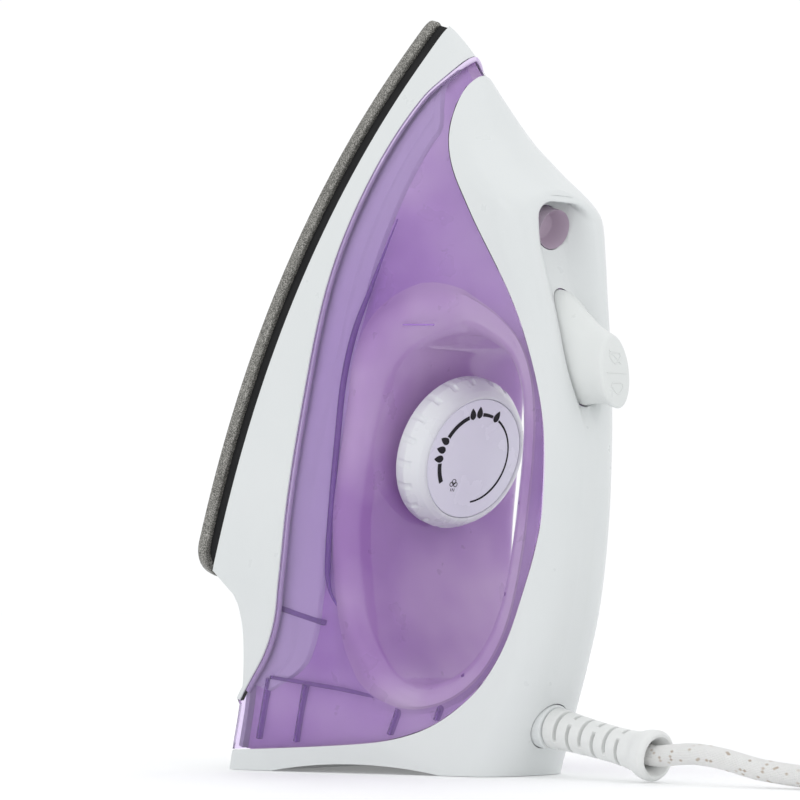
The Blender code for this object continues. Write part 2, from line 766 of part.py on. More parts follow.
def dial_knob():
    """Cup of the temperature dial: a shallow cone with finger notches round its rim."""
    base, seat, inner = DIAL_FACE - DIAL_THICKNESS, DIAL_FACE - 3.5, DIAL_FACE_RADIUS
    profile = [(inner, DIAL_FACE - 0.4), (inner + 0.4, DIAL_FACE), (inner + 1.2, DIAL_FACE - 0.2),
               (DIAL_RADIUS - 0.8, DIAL_LIP + 1), (DIAL_RADIUS, DIAL_LIP - 0.2), (DIAL_RADIUS, base),
               (DIAL_RADIUS - 1.8, base), (DIAL_RADIUS - 1.8, DIAL_LIP - 1.5), (inner, seat - 2),
               (6.5, seat - 2), (6.5, 50.4), (3.2, 50.4), (3.2, seat), (inner, seat),
               (inner, DIAL_FACE - 0.4)]
    cup = turned("dial_knob", profile, (DIAL_P, 0, 0), 40)
    work = bmesh.new()
    for i in range(DIAL_NOTCHES):
        turn = 2 * math.pi * (i + 0.5) / DIAL_NOTCHES
        spot = Vector((math.cos(turn), math.sin(turn), 0)) * (DIAL_RADIUS + 0.7)
        bar = bmesh.ops.create_cone(work, cap_ends=True, segments=8, radius1=1.5 * MM,
                                    radius2=1.5 * MM, depth=9 * MM)
        bmesh.ops.translate(work, verts=bar["verts"], vec=(spot + Vector((0, 0, 62))) * MM)
    data = bpy.data.meshes.new("dial_notches")
    work.to_mesh(data)
    work.free()
    notches = bpy.data.objects.new("dial_notches", data)
    notches.location = (DIAL_P * MM, 0, 0)
    PARTS.objects.link(notches)
    return finish(cut(cup, as_cutter(notches)), DIAL_WHITE)


def dial_face():
    top, edge = DIAL_FACE - 0.4, DIAL_FACE_RADIUS - 0.3
    profile = [(0, top), (edge - 0.3, top), (edge, top - 0.3), (edge, top - 2.7), (0, top - 2.7)]
    return finish(turned("dial_face", profile, (DIAL_P, 0, 0), 36), DIAL_WHITE)


def thermostat_shaft():
    return finish(rod("thermostat_shaft", 2.8, 18.7, 60.6, (DIAL_P, 0, 0), 12), BRASS)


def steam_knob():
    """Oval push knob that flares into the thumb scoop."""
    around = 20
    points = []
    for p, h, long, wide, slope in KNOB_RINGS:
        for x, v in oval(0, 0, long, wide, around):
            points.append((p + x, v, h + slope * x))
    faces = [tuple(reversed(range(around)))]
    for ring in range(len(KNOB_RINGS) - 1):
        for i in range(around):
            a, b = ring * around, (ring + 1) * around
            j = (i + 1) % around
            faces.append((a + i, a + j, b + j, b + i))
    last = (len(KNOB_RINGS) - 1) * around
    faces.append(tuple(range(last, last + around)))
    return finish(mesh_object("steam_knob", points, faces), WHITE)


def valve_rod():
    profile = [(0, 94.1), (2.0, 94.1), (2.0, 28), (1.2, 25), (1.2, 20), (0, 20)]
    return finish(turned("valve_rod", profile, (VALVE_P, 0, 0), 12), STEEL)


def valve_spring():
    turns, per_turn = 5, 9
    points = []
    for i in range(turns * per_turn + 1):
        turn = 2 * math.pi * i / per_turn
        rise = 68 + 18 * i / (turns * per_turn)
        points.append((VALVE_P + 4 * math.cos(turn), 4 * math.sin(turn), rise))
    return finish(tube("valve_spring", points, 0.55), STEEL)


# Electrical parts in the heel

def terminal_block():
    block = box_solid("terminal_block", (226, 0, 66), (14, 34, 22))
    for i, v in enumerate((-10, 0, 10)):
        cut(block, as_cutter(rod(f"terminal_hole_{i}", 2.6, 60, 80, (226, v, 0), 10)))
    return finish(block, VINYL)


def cord_clamp():
    clamp = box_solid("cord_clamp", (224, 0, 100), (10, 20, 8))
    return finish(clamp, VINYL)


# Swivel, lead and plug

def swivel_sleeve():
    """Sleeve that turns in the cover's round hole, held by a flange inside it."""
    bore, end = CORD_RADIUS + 0.3, GUARD_START - GAP
    profile = [(bore, end), (SLEEVE_RADIUS, end), (SLEEVE_RADIUS, 2), (10, 2), (10, -2), (bore, -2),
               (bore, end)]
    return finish(turned("swivel_sleeve", profile, SWIVEL_AT, 32, swivel_axis()), WHITE, None)


def cord_guard():
    """Soft tapered guard with a belled end."""
    bore = CORD_RADIUS + 0.3
    profile = [(bore, GUARD_END), (7.4, GUARD_END), (7.6, GUARD_END - 3), (6.0, GUARD_END - 9),
               (5.6, GUARD_END - 20), (6.2, GUARD_START + 8), (7.0, GUARD_START), (bore, GUARD_START),
               (bore, GUARD_END)]
    return finish(turned("cord_guard", profile, SWIVEL_AT, 24, swivel_axis()), VINYL, None)


def cord_lead():
    return finish(tube("cord_lead", smooth_route(LEAD_ROUTE, 8), CORD_RADIUS), CLOTH, None)


def cord_coil():
    inner, outer = COIL_INNER + COIL_CORNER, COIL_OUTER - COIL_CORNER
    shoulder, foot = COIL_HEIGHT - COIL_CORNER, GAP + COIL_CORNER
    profile = [(COIL_INNER, shoulder), (inner, COIL_HEIGHT), (outer, COIL_HEIGHT),
               (COIL_OUTER, shoulder), (COIL_OUTER, foot), (outer, GAP), (inner, GAP),
               (COIL_INNER, foot), (COIL_INNER, shoulder)]
    return finish(turned("cord_coil", profile, (*COIL_CENTRE, 0), 32), CLOTH, None)


def cord_tail():
    return finish(tube("cord_tail", smooth_route(TAIL_ROUTE, 8), CORD_RADIUS), CLOTH, None)


def plug_axis():
    return (-math.cos(PLUG_TILT), 0, math.sin(PLUG_TILT))


def plug_body():
    """Round two-pin plug with a tapered strain relief, lying on the coil."""
    face = PLUG_LENGTH
    profile = [(0, face), (17.6, face), (18.4, face - 1.2), (18.4, face - 14), (15, face - 22),
               (9, face - 27), (6, 18), (4.4, 0), (0, 0)]
    body = turned("plug_body", profile, PLUG_AT, 28, plug_axis())
    for side in (-1, 1):
        x, y, z = PLUG_AT
        spot = (x, y + side * PIN_SPREAD, z)
        hole = rod(f"pin_hole_{side + 1}", 2.8, face - 9, face + 9, spot, 12, plug_axis())
        cut(body, as_cutter(hole, None))
    return finish(body, VINYL, None)


def plug_pin(name, side):
    x, y, z = PLUG_AT
    profile = [(0, PIN_END), (1.6, PIN_END), (2.4, PIN_END - 1.2), (2.4, 45.5), (0, 45.5)]
    return finish(turned(name, profile, (x, y + side * PIN_SPREAD, z), 12, plug_axis()), STEEL, None)


def build():
    for make in (soleplate, heat_shield, heater_casting, chamber_lid, heating_element, thermostat,
                 thermal_fuse, lower_skirt, heel_underside, tank_shell, tank_base, tank_bulkhead,
                 tank_top, filler_neck, dial_well, valve_seat, upper_cover, rear_cover, dial_knob,
                 dial_face, thermostat_shaft, steam_knob, valve_rod, valve_spring, terminal_block,
                 cord_clamp, swivel_sleeve, cord_guard, cord_lead, cord_coil, cord_tail, plug_body):
        make()
    for i, x in enumerate(REAR_SCREW_X):
        rear_screw(i, x)
    plug_pin("plug_pin_left", -1)
    plug_pin("plug_pin_right", 1)


build()
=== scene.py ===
"""Steam iron standing on its heel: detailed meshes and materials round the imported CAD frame.

Sizes are in millimetres, in the same lying frame as the CAD: p runs back from the sole tip, v to
the side, h up from the sole.  A piece is made there in metres and then stood up by STAND.
"""
import math

import bmesh
import bpy
from mathutils import Matrix, Vector
from mathutils.geometry import tessellate_polygon


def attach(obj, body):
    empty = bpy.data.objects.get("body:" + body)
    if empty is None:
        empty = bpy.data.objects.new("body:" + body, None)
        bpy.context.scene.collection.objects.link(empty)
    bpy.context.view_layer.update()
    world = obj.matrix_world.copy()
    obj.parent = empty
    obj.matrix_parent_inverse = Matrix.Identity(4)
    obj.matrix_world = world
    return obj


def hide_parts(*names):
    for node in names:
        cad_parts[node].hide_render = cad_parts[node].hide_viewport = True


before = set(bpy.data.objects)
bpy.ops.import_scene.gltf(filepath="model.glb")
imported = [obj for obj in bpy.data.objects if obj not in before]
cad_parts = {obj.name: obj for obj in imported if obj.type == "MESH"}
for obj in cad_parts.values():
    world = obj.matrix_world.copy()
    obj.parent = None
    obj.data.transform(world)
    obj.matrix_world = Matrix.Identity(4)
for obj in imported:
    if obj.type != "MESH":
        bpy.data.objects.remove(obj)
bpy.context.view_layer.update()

MM = 0.001
GAP = 0.3
LEAN = math.radians(18.25)
TIP_X, TIP_Z = -13.17, 265.2
SIN, COS = math.sin(LEAN), math.cos(LEAN)
STAND = Matrix(((-SIN, 0, COS, TIP_X * MM), (0, 1, 0, 0), (-COS, 0, -SIN, TIP_Z * MM), (0, 0, 0, 1)))

SOLE_LENGTH, SOLE_HALF_WIDTH, SOLE_FULLNESS, SOLE_SHARPNESS = 207.0, 56.2, 2.31, 0.918
SOLE_THICKNESS, SOLE_CORNER = 4.7, 12.0
VENT_INSET, VENT_RADIUS = 10.5, 1.6
SHIELD_TOP, SHIELD_INSET, SHIELD_WIDTH, SKIRT_FOOT = 9.7, 1.6, 3.4, 10.0
PROW_FADE = 110.0
PROW = [(0, 0), (11, 0.5), (26, 8), (39, 18), (52, 28.5), (61, 34), (69, 38.5), (81, 43.2), (90, 45.5)]
RIDGE = [(0, 81), (10, 84.5), (30, 88.5), (50, 93.3), (70, 100.4), (90, 109), (114, 120), (127, 124.3),
         (150, 130.2), (175, 134.3), (195, 135), (212, 133.7), (236, 131), (275, 127)]
TOP_HALF_WIDTH = [(0, 22), (20, 24), (50, 23), (75, 19.5), (95, 17.5), (120, 17), (200, 17), (250, 16)]
TUMBLEHOME = [(0, 0.9), (70, 0.9), (110, 0.84), (150, 0.83), (180, 0.88), (205, 1.0), (240, 1.2)]
ROLL = [(0, 14), (30, 13), (60, 12), (100, 11), (250, 11)]
ROLL_POWER = 2.2
SKIRT_END, TANK_LENGTH = 242.4, 260.6
SKIRT_SEAM = [(0, 26), (10, 23.7), (23, 20.2), (51, 18.7), (88, 21.1), (132, 28.6), (171, 34.4),
              (195, 38.6), (210, 40.6), (223, 39.6), (236, 35.6), (SKIRT_END, 33.6)]
COVER_SEAM = [(0, 33), (8, 33.4), (17, 37.1), (25, 43.4), (37.7, 60), (49.5, 71), (64, 81.6), (91, 99),
              (116, 113.4), (143, 121.8), (160, 123.7), (177, 122.7), (194, 120.3), (207, 116.7),
              (217, 111.6), (227, 104), (234, 95.6), (239.5, 86), (247.4, 67.5), (TANK_LENGTH, 34)]
FOOT_LINE = [(203, 10), (206.6, 21), (214, 27), (224, 30.5), (240, 33.4), (262, 33.9), (285, 34.5)]
WALL, SEAM_SPARE = 2.2, 2.5
SCOOP_DEPTH = [(10, 0), (26, 10.5), (40, 12.5), (60, 9), (80, 6), (104, 4.2), (118, 0)]
SCOOP_SHARE = [(0, 0.55), (20, 0.62), (60, 0.66), (85, 0.66), (105, 0.45), (120, 0.22), (250, 0.22)]
HOOD_REACH = [(10, 0), (20, 3), (30, 6), (42, 3), (56, 0)]
GAP_EDGE = [(98, 72), (101, 62.5), (108, 55), (118, 52.6), (130, 53.3), (142, 54.7), (156, 56.5),
            (168, 58.4), (180, 62), (194, 67.8), (206, 75), (214.5, 84), (216.5, 92), (211.5, 100.5),
            (203, 106.5), (192, 109.8), (178, 111), (160, 109.8), (145, 107.5), (131, 105),
            (118, 101.5), (108, 96), (101, 87)]
LIP = [(0, 12.5), (1, 12.5), (2, 12), (3, 10), (4, 8), (6, 7), (8, 6.5), (20, 6.5), (21, 7.5),
       (22, 9.5), (23, 12)]
SPOKES = [(1.0, 0, 6), (2.7, 85, 8), (8.6, 196, 6), (10.7, 260, 1), (11.0, 262, 7), (13.2, 298, 8),
          (20.4, 412, 9), (23.7, 2 * TANK_LENGTH, 1)]
TANK_FLOOR = 20.5
BAND_HEIGHT = 13.0
INNER_WALL = [(64, 35.5), (72, 35.8), (91, 36.3), (107, 36.6), (124, 38.8), (144, 43), (165, 47.3),
              (185, 51.8), (194, 55), (199.2, 59.5), (200.5, 62)]
LEVEL_LINE = [(96.4, 63), (99.6, 53)]
VESSEL_INSET, LINING_INSET = 5.0, 1.2

DIAL_P, DIAL_FACE, DIAL_RADIUS, DIAL_THICKNESS, DIAL_NOTCHES = 142.0, 70.0, 27.2, 10.7, 20
DIAL_LIP, DIAL_FACE_RADIUS = 64.0, 21.6
ARC_RADIUS = 15.9
ARC_WIDTHS = [(-125, 1.75), (-60, 1.6), (0, 1.3), (30, 0.8), (70, 0.6), (130, 0.8), (170, 0.6)]
LEAF_RADIUS, LEAF_LENGTH, LEAF_HALF_WIDTH = 16.3, 4.3, 1.3
CLOUD_SPOT, CLOUD_LINE = (11.8, -143), 0.12
KNOB_P = 92.5
KNOB_RINGS = [(92.5, 98.0, 16.9, 8.7, 0.55), (92.5, 105.2, 17.2, 9.0, 0.55),
              (93.3, 111, 14.9, 7.9, 0.52), (94.3, 118, 12.3, 6.9, 0.48),
              (95.0, 124.8, 11.5, 6.9, 0.45), (95.0, 126, 10.9, 6.4, 0.45)]
FILLER_P, FILLER_RADIUS = 56.5, 7.2

# World frame: cord swivel, lead, coil and plug
SWIVEL_AT = (29.6, 0.0, 19.6)
DROOP = math.radians(9.8)
SWIVEL_AXIS = (math.cos(DROOP), 0, -math.sin(DROOP))
SLEEVE_RADIUS, GUARD_START, GUARD_END = 7.8, 18.8, 66.3
CORD_RADIUS = 3.5
COIL_CENTRE = (184.0, 58.0)
COIL_RINGS = (52.0, 45.0, 38.0, 31.0)
COIL_BOTTOM, COIL_LAYER, COIL_LEAVES = 3.8, 7.0, 7.4
BRAID_CARRIERS, BRAID_STEP = 20, 1.6
LEAD_ROUTE = [(96.1, 0.0, 8.6), (102.5, 0.0, 9.3), (111.5, 0.1, 9.8), (122.5, 1.0, 8.6),
              (135.5, 3.4, 5.7), (149.0, 6.2, 4.1), (161.0, 7.5, 3.8), (173.0, 7.0, 3.8)]
TAIL_ROUTE = [(228.3, 65.8, 18.2), (225.5, 74.5, 18.2), (220.5, 82.5, 18.3), (213.5, 89.0, 18.9),
              (205.5, 92.8, 19.8), (196.8, 94.0, 21.6)]
PLUG_AT = (196.0, 94.0, 21.8)
PLUG_TILT = math.radians(15.5)
PLUG_AXIS = (-math.cos(PLUG_TILT), 0, math.sin(PLUG_TILT))
PLUG_LENGTH, PIN_END, PIN_SPREAD = 54.0, 73.0, 9.5

CAMERA_AT, CAMERA_AIM, LENS = (850.7, -815.8, 62), (-29.37, 0, 130.6), 151.7


# Shape of the skin, as in the CAD

def along(points, x):
    """Value at x of the smooth line through (x, y) points."""
    if x <= points[0][0]:
        return points[0][1]
    if x >= points[-1][0]:
        return points[-1][1]
    last = len(points) - 1
    i = max(j for j in range(last) if points[j][0] <= x)

    def slope(j):
        a, b = points[max(j - 1, 0)], points[min(j + 1, last)]
        return (b[1] - a[1]) / (b[0] - a[0])

    (x0, y0), (x1, y1) = points[i], points[i + 1]
    d = x1 - x0
    t = (x - x0) / d
    rise = (3 - 2 * t) * t * t
    return y0 + (y1 - y0) * rise + d * t * (1 - t) * ((1 - t) * slope(i) - t * slope(i + 1))


def plan(q, length, fullness, sharpness):
    if q >= length:
        return 1.0
    return (1 - (1 - max(q, 0) / length) ** fullness) ** sharpness


def sole_half(p):
    wide = SOLE_HALF_WIDTH * plan(p, SOLE_LENGTH, SOLE_FULLNESS, SOLE_SHARPNESS)
    return math.sqrt(wide * wide + 3 * p * math.exp(-p / 6))


def place(q, h):
    return q + along(PROW, h) * max(0, 1 - q / PROW_FADE) ** 2


def side_half(q, h):
    low = sole_half(q) - 0.5 - 4.5 * max(0, (q - 200) / 80)
    high = along(TOP_HALF_WIDTH, q) * plan(q, 30, 2, 0.5)
    t = (h - SKIRT_FOOT) / (along(RIDGE, q) - SKIRT_FOOT) / along(TUMBLEHOME, q)
    t = min(max(t, 0), 1)
    return low + (high - low) * t * t * (3 - 2 * t)


def skin_half(q, h):
    roll = along(ROLL, q)
    x = min(max((h - along(RIDGE, q) + roll) / roll, 0), 1)
    return side_half(q, h) * (1 - x ** ROLL_POWER) ** (1 / ROLL_POWER)


def skin(q, h, inset=0.0):
    """Point on the near side of the skin."""
    return (place(q, h), -max(skin_half(q, h) - inset, 0), h)


def spread(start, end, count, ease=1.0):
    return [start + (end - start) * (i / (count - 1)) ** ease for i in range(count)]


def smooth_route(route, step):
    knots = [0.0]
    for a, b in zip(route, route[1:]):
        knots.append(knots[-1] + math.dist(a, b))
    count = max(2, round(knots[-1] / step) + 1)
    lines = [list(zip(knots, [point[axis] for point in route])) for axis in range(len(route[0]))]
    return [tuple(along(line, s) for line in lines) for s in spread(0, knots[-1], count)]


def smoothstep(t):
    t = min(max(t, 0), 1)
    return t * t * (3 - 2 * t)


# Materials

def node(tree, kind, **settings):
    made = tree.nodes.new("ShaderNode" + kind)
    for key, value in settings.items():
        setattr(made, key, value)
    return made


def noise(tree, where, scale, detail=3.0):
    made = node(tree, "TexNoise")
    made.inputs["Scale"].default_value = scale
    made.inputs["Detail"].default_value = detail
    tree.links.new(where, made.inputs["Vector"])
    return made.outputs["Fac"]


def ramp(tree, value, stops):
    made = node(tree, "ValToRGB")
    elements = made.color_ramp.elements
    while len(elements) < len(stops):
        elements.new(0.5)
    for element, (at, colour) in zip(elements, stops):
        element.position = at
        element.color = (*colour, 1)
    tree.links.new(value, made.inputs["Fac"])
    return made.outputs["Color"]


def levels(tree, value, low, high, start=0.3, end=0.7):
    made = node(tree, "MapRange")
    for socket, number in (("From Min", start), ("From Max", end), ("To Min", low), ("To Max", high)):
        made.inputs[socket].default_value = number
    tree.links.new(value, made.inputs["Value"])
    return made.outputs["Result"]


def math_node(tree, operation, a, b=0.0, c=0.0):
    made = node(tree, "Math", operation=operation)
    for socket, value in zip(made.inputs, (a, b, c)):
        if isinstance(value, (int, float)):
            socket.default_value = value
        else:
            tree.links.new(value, socket)
    return made.outputs["Value"]


def bump(tree, height, strength, distance, under=None):
    made = node(tree, "Bump")
    made.inputs["Strength"].default_value = strength
    made.inputs["Distance"].default_value = distance * MM
    tree.links.new(height, made.inputs["Height"])
    if under:
        tree.links.new(under, made.inputs["Normal"])
    return made.outputs["Normal"]


def blank(name, **fixed):
    """Principled material; fixed values go straight on the shader's own sockets."""
    made = bpy.data.materials.new(name)
    made.use_nodes = True
    tree = made.node_tree
    shader = tree.nodes["Principled BSDF"]
    for socket, value in fixed.items():
        shader.inputs[socket.replace("_", " ")].default_value = value
    where = node(tree, "TexCoord").outputs["Object"]
    return made, tree, shader, where


def finish_of(name, colours, rough, at=(0.3, 0.7), tone=18.0, grain=1500.0, relief=0.02, waves=0.0,
              **fixed):
    """Moulded or cast surface: soft drift between colours, uneven gloss and a fine grain."""
    made, tree, shader, where = blank(name, **fixed)
    drift = noise(tree, where, tone)
    tree.links.new(ramp(tree, drift, list(zip(at, colours))), shader.inputs["Base Color"])
    tree.links.new(levels(tree, noise(tree, where, tone * 5, 5.0), *rough), shader.inputs["Roughness"])
    fine = bump(tree, noise(tree, where, grain), 0.35, relief)
    if waves:
        fine = bump(tree, noise(tree, where, 60.0, 1.0), 0.3, waves, fine)
    tree.links.new(fine, shader.inputs["Normal"])
    return made


HOUSING = finish_of("housing_white", ((0.66, 0.685, 0.685), (0.69, 0.71, 0.71)), (0.27, 0.38),
                    relief=0.012, waves=0.03, Coat_Weight=0.15, Coat_Roughness=0.2)
INNER_WHITE = finish_of("inner_white", ((0.74, 0.75, 0.75), (0.79, 0.80, 0.80)), (0.45, 0.6))
KNOB_WHITE = finish_of("knob_white", ((0.67, 0.69, 0.68), (0.70, 0.72, 0.71)), (0.25, 0.36),
                       relief=0.01)
DIAL_WHITE = finish_of("dial_white", ((0.68, 0.69, 0.72), (0.72, 0.73, 0.76)), (0.24, 0.34),
                       relief=0.01)
FACE_WHITE = finish_of("dial_face_white", ((0.74, 0.74, 0.82), (0.78, 0.77, 0.85)), (0.2, 0.3),
                       relief=0.008)
INK = finish_of("dial_print", ((0.012, 0.011, 0.014), (0.022, 0.02, 0.024)), (0.45, 0.6), relief=0.01,
                Specular_IOR_Level=0.15)
# Mauve-grey of the filling hole: painted shade inside the hole, tinted by light through the lilac tank.
FILLER_PAINTED_SHADE = finish_of("filler_painted_shade", ((0.42, 0.33, 0.42), (0.50, 0.41, 0.50)), (0.45, 0.6))
SHIELD = finish_of("shield_black", ((0.006, 0.006, 0.007), (0.012, 0.012, 0.013)), (0.5, 0.7),
                   relief=0.05, Specular_IOR_Level=0.2)
CAST = finish_of("cast_aluminium", ((0.52, 0.53, 0.54), (0.66, 0.67, 0.68)), (0.35, 0.5), grain=700,
                 relief=0.08, Metallic=1.0)
STEEL = finish_of("steel", ((0.52, 0.52, 0.50), (0.62, 0.62, 0.60)), (0.22, 0.36), Metallic=1.0)
BRASS = finish_of("brass", ((0.66, 0.48, 0.20), (0.76, 0.58, 0.28)), (0.25, 0.4), Metallic=1.0)
RUBBER = finish_of("seal_rubber", ((0.50, 0.50, 0.47), (0.58, 0.58, 0.55)), (0.6, 0.8))
VINYL = finish_of("plug_vinyl", ((0.70, 0.71, 0.70), (0.74, 0.75, 0.74)), (0.32, 0.45), grain=900,
                  relief=0.03)
LILAC = finish_of("tank_lilac", ((0.77, 0.64, 0.90), (0.81, 0.70, 0.92)), (0.015, 0.05), tone=9.0,
                  grain=400, relief=0.004, waves=0.05, Transmission_Weight=1.0, IOR=1.46)
LILAC_RIB = finish_of("tank_rib", ((0.50, 0.30, 0.72), (0.58, 0.38, 0.78)), (0.08, 0.16),
                      Transmission_Weight=0.85, IOR=1.46)
# Faint violet emission on the tank's inner wall: painted light standing in for light carried through the
# tank's walls into the finger gap.
VESSEL_PAINTED_GLOW = finish_of("tank_vessel", ((0.60, 0.38, 0.72), (0.80, 0.64, 0.86), (0.95, 0.88, 0.95)),
                   (0.25, 0.4), at=(0.36, 0.5, 0.64), tone=16.0, waves=0.05, Transmission_Weight=0.1,
                   IOR=1.4, Emission_Strength=0.08, Emission_Color=(0.66, 0.42, 0.76, 1))
LILAC_EDGE = finish_of("tank_edge", ((0.68, 0.56, 0.80), (0.76, 0.64, 0.86)), (0.2, 0.3))
LILAC_WALL = finish_of("tank_inner_wall", ((0.40, 0.20, 0.66), (0.50, 0.29, 0.74)), (0.1, 0.2),
                       Transmission_Weight=0.3, IOR=1.46)
LINER = finish_of("tank_liner", ((0.92, 0.90, 0.96), (0.97, 0.95, 0.99)), (0.3, 0.45), tone=14.0,
                  waves=0.05)


def sole_finish():
    """Dark coating with a fine pale speckle."""
    made, tree, shader, where = blank("sole_coating", Metallic=0.35)
    speck = noise(tree, where, 2600.0, 2.0)
    cloud = noise(tree, where, 40.0, 4.0)
    mixed = math_node(tree, "MULTIPLY_ADD", cloud, 0.08, math_node(tree, "MULTIPLY", speck, 0.92))
    stops = [(0.36, (0.06, 0.059, 0.054)), (0.5, (0.17, 0.165, 0.15)), (0.62, (0.42, 0.41, 0.38))]
    tree.links.new(ramp(tree, mixed, stops), shader.inputs["Base Color"])
    tree.links.new(levels(tree, cloud, 0.36, 0.52), shader.inputs["Roughness"])
    tree.links.new(bump(tree, speck, 0.5, 0.05), shader.inputs["Normal"])
    return made


def braid_finish():
    """White braid with small brown flecks and painted shade greying the grooves between carriers; u runs
    round the cord and v along it, in carrier steps.
    """
    made, tree, shader, _ = blank("cord_braid", Sheen_Weight=0.3, Sheen_Roughness=0.5)
    split = node(tree, "SeparateXYZ")
    tree.links.new(node(tree, "UVMap", uv_map="braid").outputs["UV"], split.inputs[0])
    around, run = split.outputs["X"], split.outputs["Y"]
    slants = [math_node(tree, way, around, run) for way in ("ADD", "SUBTRACT")]
    waves = [math_node(tree, "SINE", math_node(tree, "MULTIPLY", slant, 2 * math.pi))
             for slant in slants]
    weave = math_node(tree, "MULTIPLY", *waves)
    cell = node(tree, "CombineXYZ")
    for slant, socket in zip(slants, cell.inputs):
        tree.links.new(math_node(tree, "FLOOR", slant), socket)
    dice = node(tree, "TexWhiteNoise")
    tree.links.new(cell.outputs[0], dice.inputs["Vector"])
    stops = [(0.0, (0.50, 0.42, 0.35)), (0.045, (0.66, 0.60, 0.54)), (0.055, (0.84, 0.84, 0.83)),
             (1.0, (0.88, 0.88, 0.87))]
    fleck = ramp(tree, dice.outputs["Value"], stops)
    fleck_and_groove_shade = node(tree, "Mix", data_type="RGBA", blend_type="MULTIPLY")
    fleck_and_groove_shade.inputs["Factor"].default_value = 1.0
    tree.links.new(fleck, fleck_and_groove_shade.inputs[6])
    # Painted shade: the weave greys the braid from white towards the grooves between carriers.
    tree.links.new(ramp(tree, math_node(tree, "ABSOLUTE", weave),
                        [(0.0, (0.74, 0.73, 0.72)), (0.35, (1, 1, 1))]), fleck_and_groove_shade.inputs[7])
    tree.links.new(fleck_and_groove_shade.outputs[2], shader.inputs["Base Color"])
    tree.links.new(levels(tree, weave, 0.85, 0.65, -1, 1), shader.inputs["Roughness"])
    tree.links.new(bump(tree, weave, 0.6, 0.25), shader.inputs["Normal"])
    return made


SOLE = sole_finish()
BRAID = braid_finish()


# Mesh helpers

def mesh_object(name, points, faces):
    data = bpy.data.meshes.new(name)
    data.from_pydata([(x * MM, y * MM, z * MM) for x, y, z in points], [], faces)
    data.update()
    made = bpy.data.objects.new(name, data)
    bpy.context.scene.collection.objects.link(made)
    return made


def weld(made, distance=0.02):
    work = bmesh.new()
    work.from_mesh(made.data)
    bmesh.ops.remove_doubles(work, verts=work.verts, dist=distance * MM)
    bmesh.ops.dissolve_degenerate(work, edges=work.edges, dist=distance * MM)
    work.to_mesh(made.data)
    work.free()
    return made


def outward(made):
    work = bmesh.new()
    work.from_mesh(made.data)
    bmesh.ops.recalc_face_normals(work, faces=work.faces)
    work.to_mesh(made.data)
    work.free()
    return made


def grid_sheet(name, rows, closed=False):
    wide = len(rows[0])
    points = [point for row in rows for point in row]
    faces = []
    for i in range(len(rows) if closed else len(rows) - 1):
        a, b = i * wide, ((i + 1) % len(rows)) * wide
        for j in range(wide - 1):
            faces.append((a + j, b + j, b + j + 1, a + j + 1))
    return weld(mesh_object(name, points, faces))


def mirrored(made):
    twin = made.modifiers.new("both_sides", "MIRROR")
    twin.use_axis = (False, True, False)
    twin.use_clip = True
    twin.merge_threshold = 0.01 * MM
    return made


def thicken(made, wall=WALL, even=True):
    shell = made.modifiers.new("wall", "SOLIDIFY")
    shell.thickness = wall * MM
    shell.offset = -1
    shell.use_even_offset = even
    shell.thickness_clamp = 0
    return made


def cut(made, cutter):
    tool = made.modifiers.new(cutter.name, "BOOLEAN")
    tool.operation = "DIFFERENCE"
    tool.solver = "EXACT"
    tool.object = cutter
    return made


def baked(made):
    """The object with its modifiers or curve turned into a plain mesh; its cutters go."""
    tools = [m.object for m in made.modifiers if m.type == "BOOLEAN"]
    view = bpy.context.evaluated_depsgraph_get()
    data = bpy.data.meshes.new_from_object(made.evaluated_get(view))
    name = made.name
    data.transform(made.matrix_world)
    bpy.data.objects.remove(made, do_unlink=True)
    for tool in tools:
        bpy.data.objects.remove(tool, do_unlink=True)
    solid = bpy.data.objects.new(name, data)
    bpy.context.scene.collection.objects.link(solid)
    return solid


def piece(made, paint, body, hides=(), stand=True, smooth=38):
    """Stand the mesh up, paint it, and tell the frame what it rides on and replaces."""
    if stand:
        made.data.transform(STAND)
    made.data.materials.clear()
    made.data.materials.append(paint)
    made.data.shade_smooth()
    made.data.set_sharp_from_angle(angle=math.radians(smooth))
    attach(made, body)
    if hides:
        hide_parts(*hides)
    return made


def flat(name, outline, low, high, holes=(), edge=0.0):
    """Flat solid between two heights with a rounded edge, from (x, y) loops."""
    curve = bpy.data.curves.new(name, "CURVE")
    curve.dimensions = "2D"
    curve.fill_mode = "BOTH"
    curve.extrude = ((high - low) / 2 - edge) * MM
    curve.bevel_depth = edge * MM
    curve.bevel_resolution = 3
    curve.offset = -edge * MM
    for loop in (outline, *holes):
        spline = curve.splines.new("POLY")
        spline.points.add(len(loop) - 1)
        spline.use_cyclic_u = True
        for point, (x, y) in zip(spline.points, loop):
            point.co = (x * MM, y * MM, 0, 1)
    made = bpy.data.objects.new(name, curve)
    made.location = (0, 0, (low + high) / 2 * MM)
    bpy.context.scene.collection.objects.link(made)
    bpy.context.view_layer.update()
    return outward(weld(baked(made), 0.003))


def prism(name, outline, half=90.0):
    """Solid right across the body from an outline in side view."""
    count = len(outline)
    points = [(p, -half, h) for p, h in outline] + [(p, half, h) for p, h in outline]
    caps = tessellate_polygon([[Vector((p, h, 0)) for p, h in outline]])
    faces = [tuple(face) for face in caps] + [tuple(count + k for k in reversed(face)) for face in caps]
    faces += [(i, (i + 1) % count, count + (i + 1) % count, count + i) for i in range(count)]
    return outward(mesh_object(name, points, faces))


def oval(x, y, long, wide, steps):
    return [(x + long * math.cos(2 * math.pi * i / steps),
             y + wide * math.sin(2 * math.pi * i / steps)) for i in range(steps)]


def circle(x, y, radius, steps=24):
    return oval(x, y, radius, radius, steps)


def ring_faces(rings, around):
    """Quads that join each ring of points to the next."""
    return [(a + i, a + (i + 1) % around, a + around + (i + 1) % around, a + around + i)
            for a in range(0, (rings - 1) * around, around) for i in range(around)]


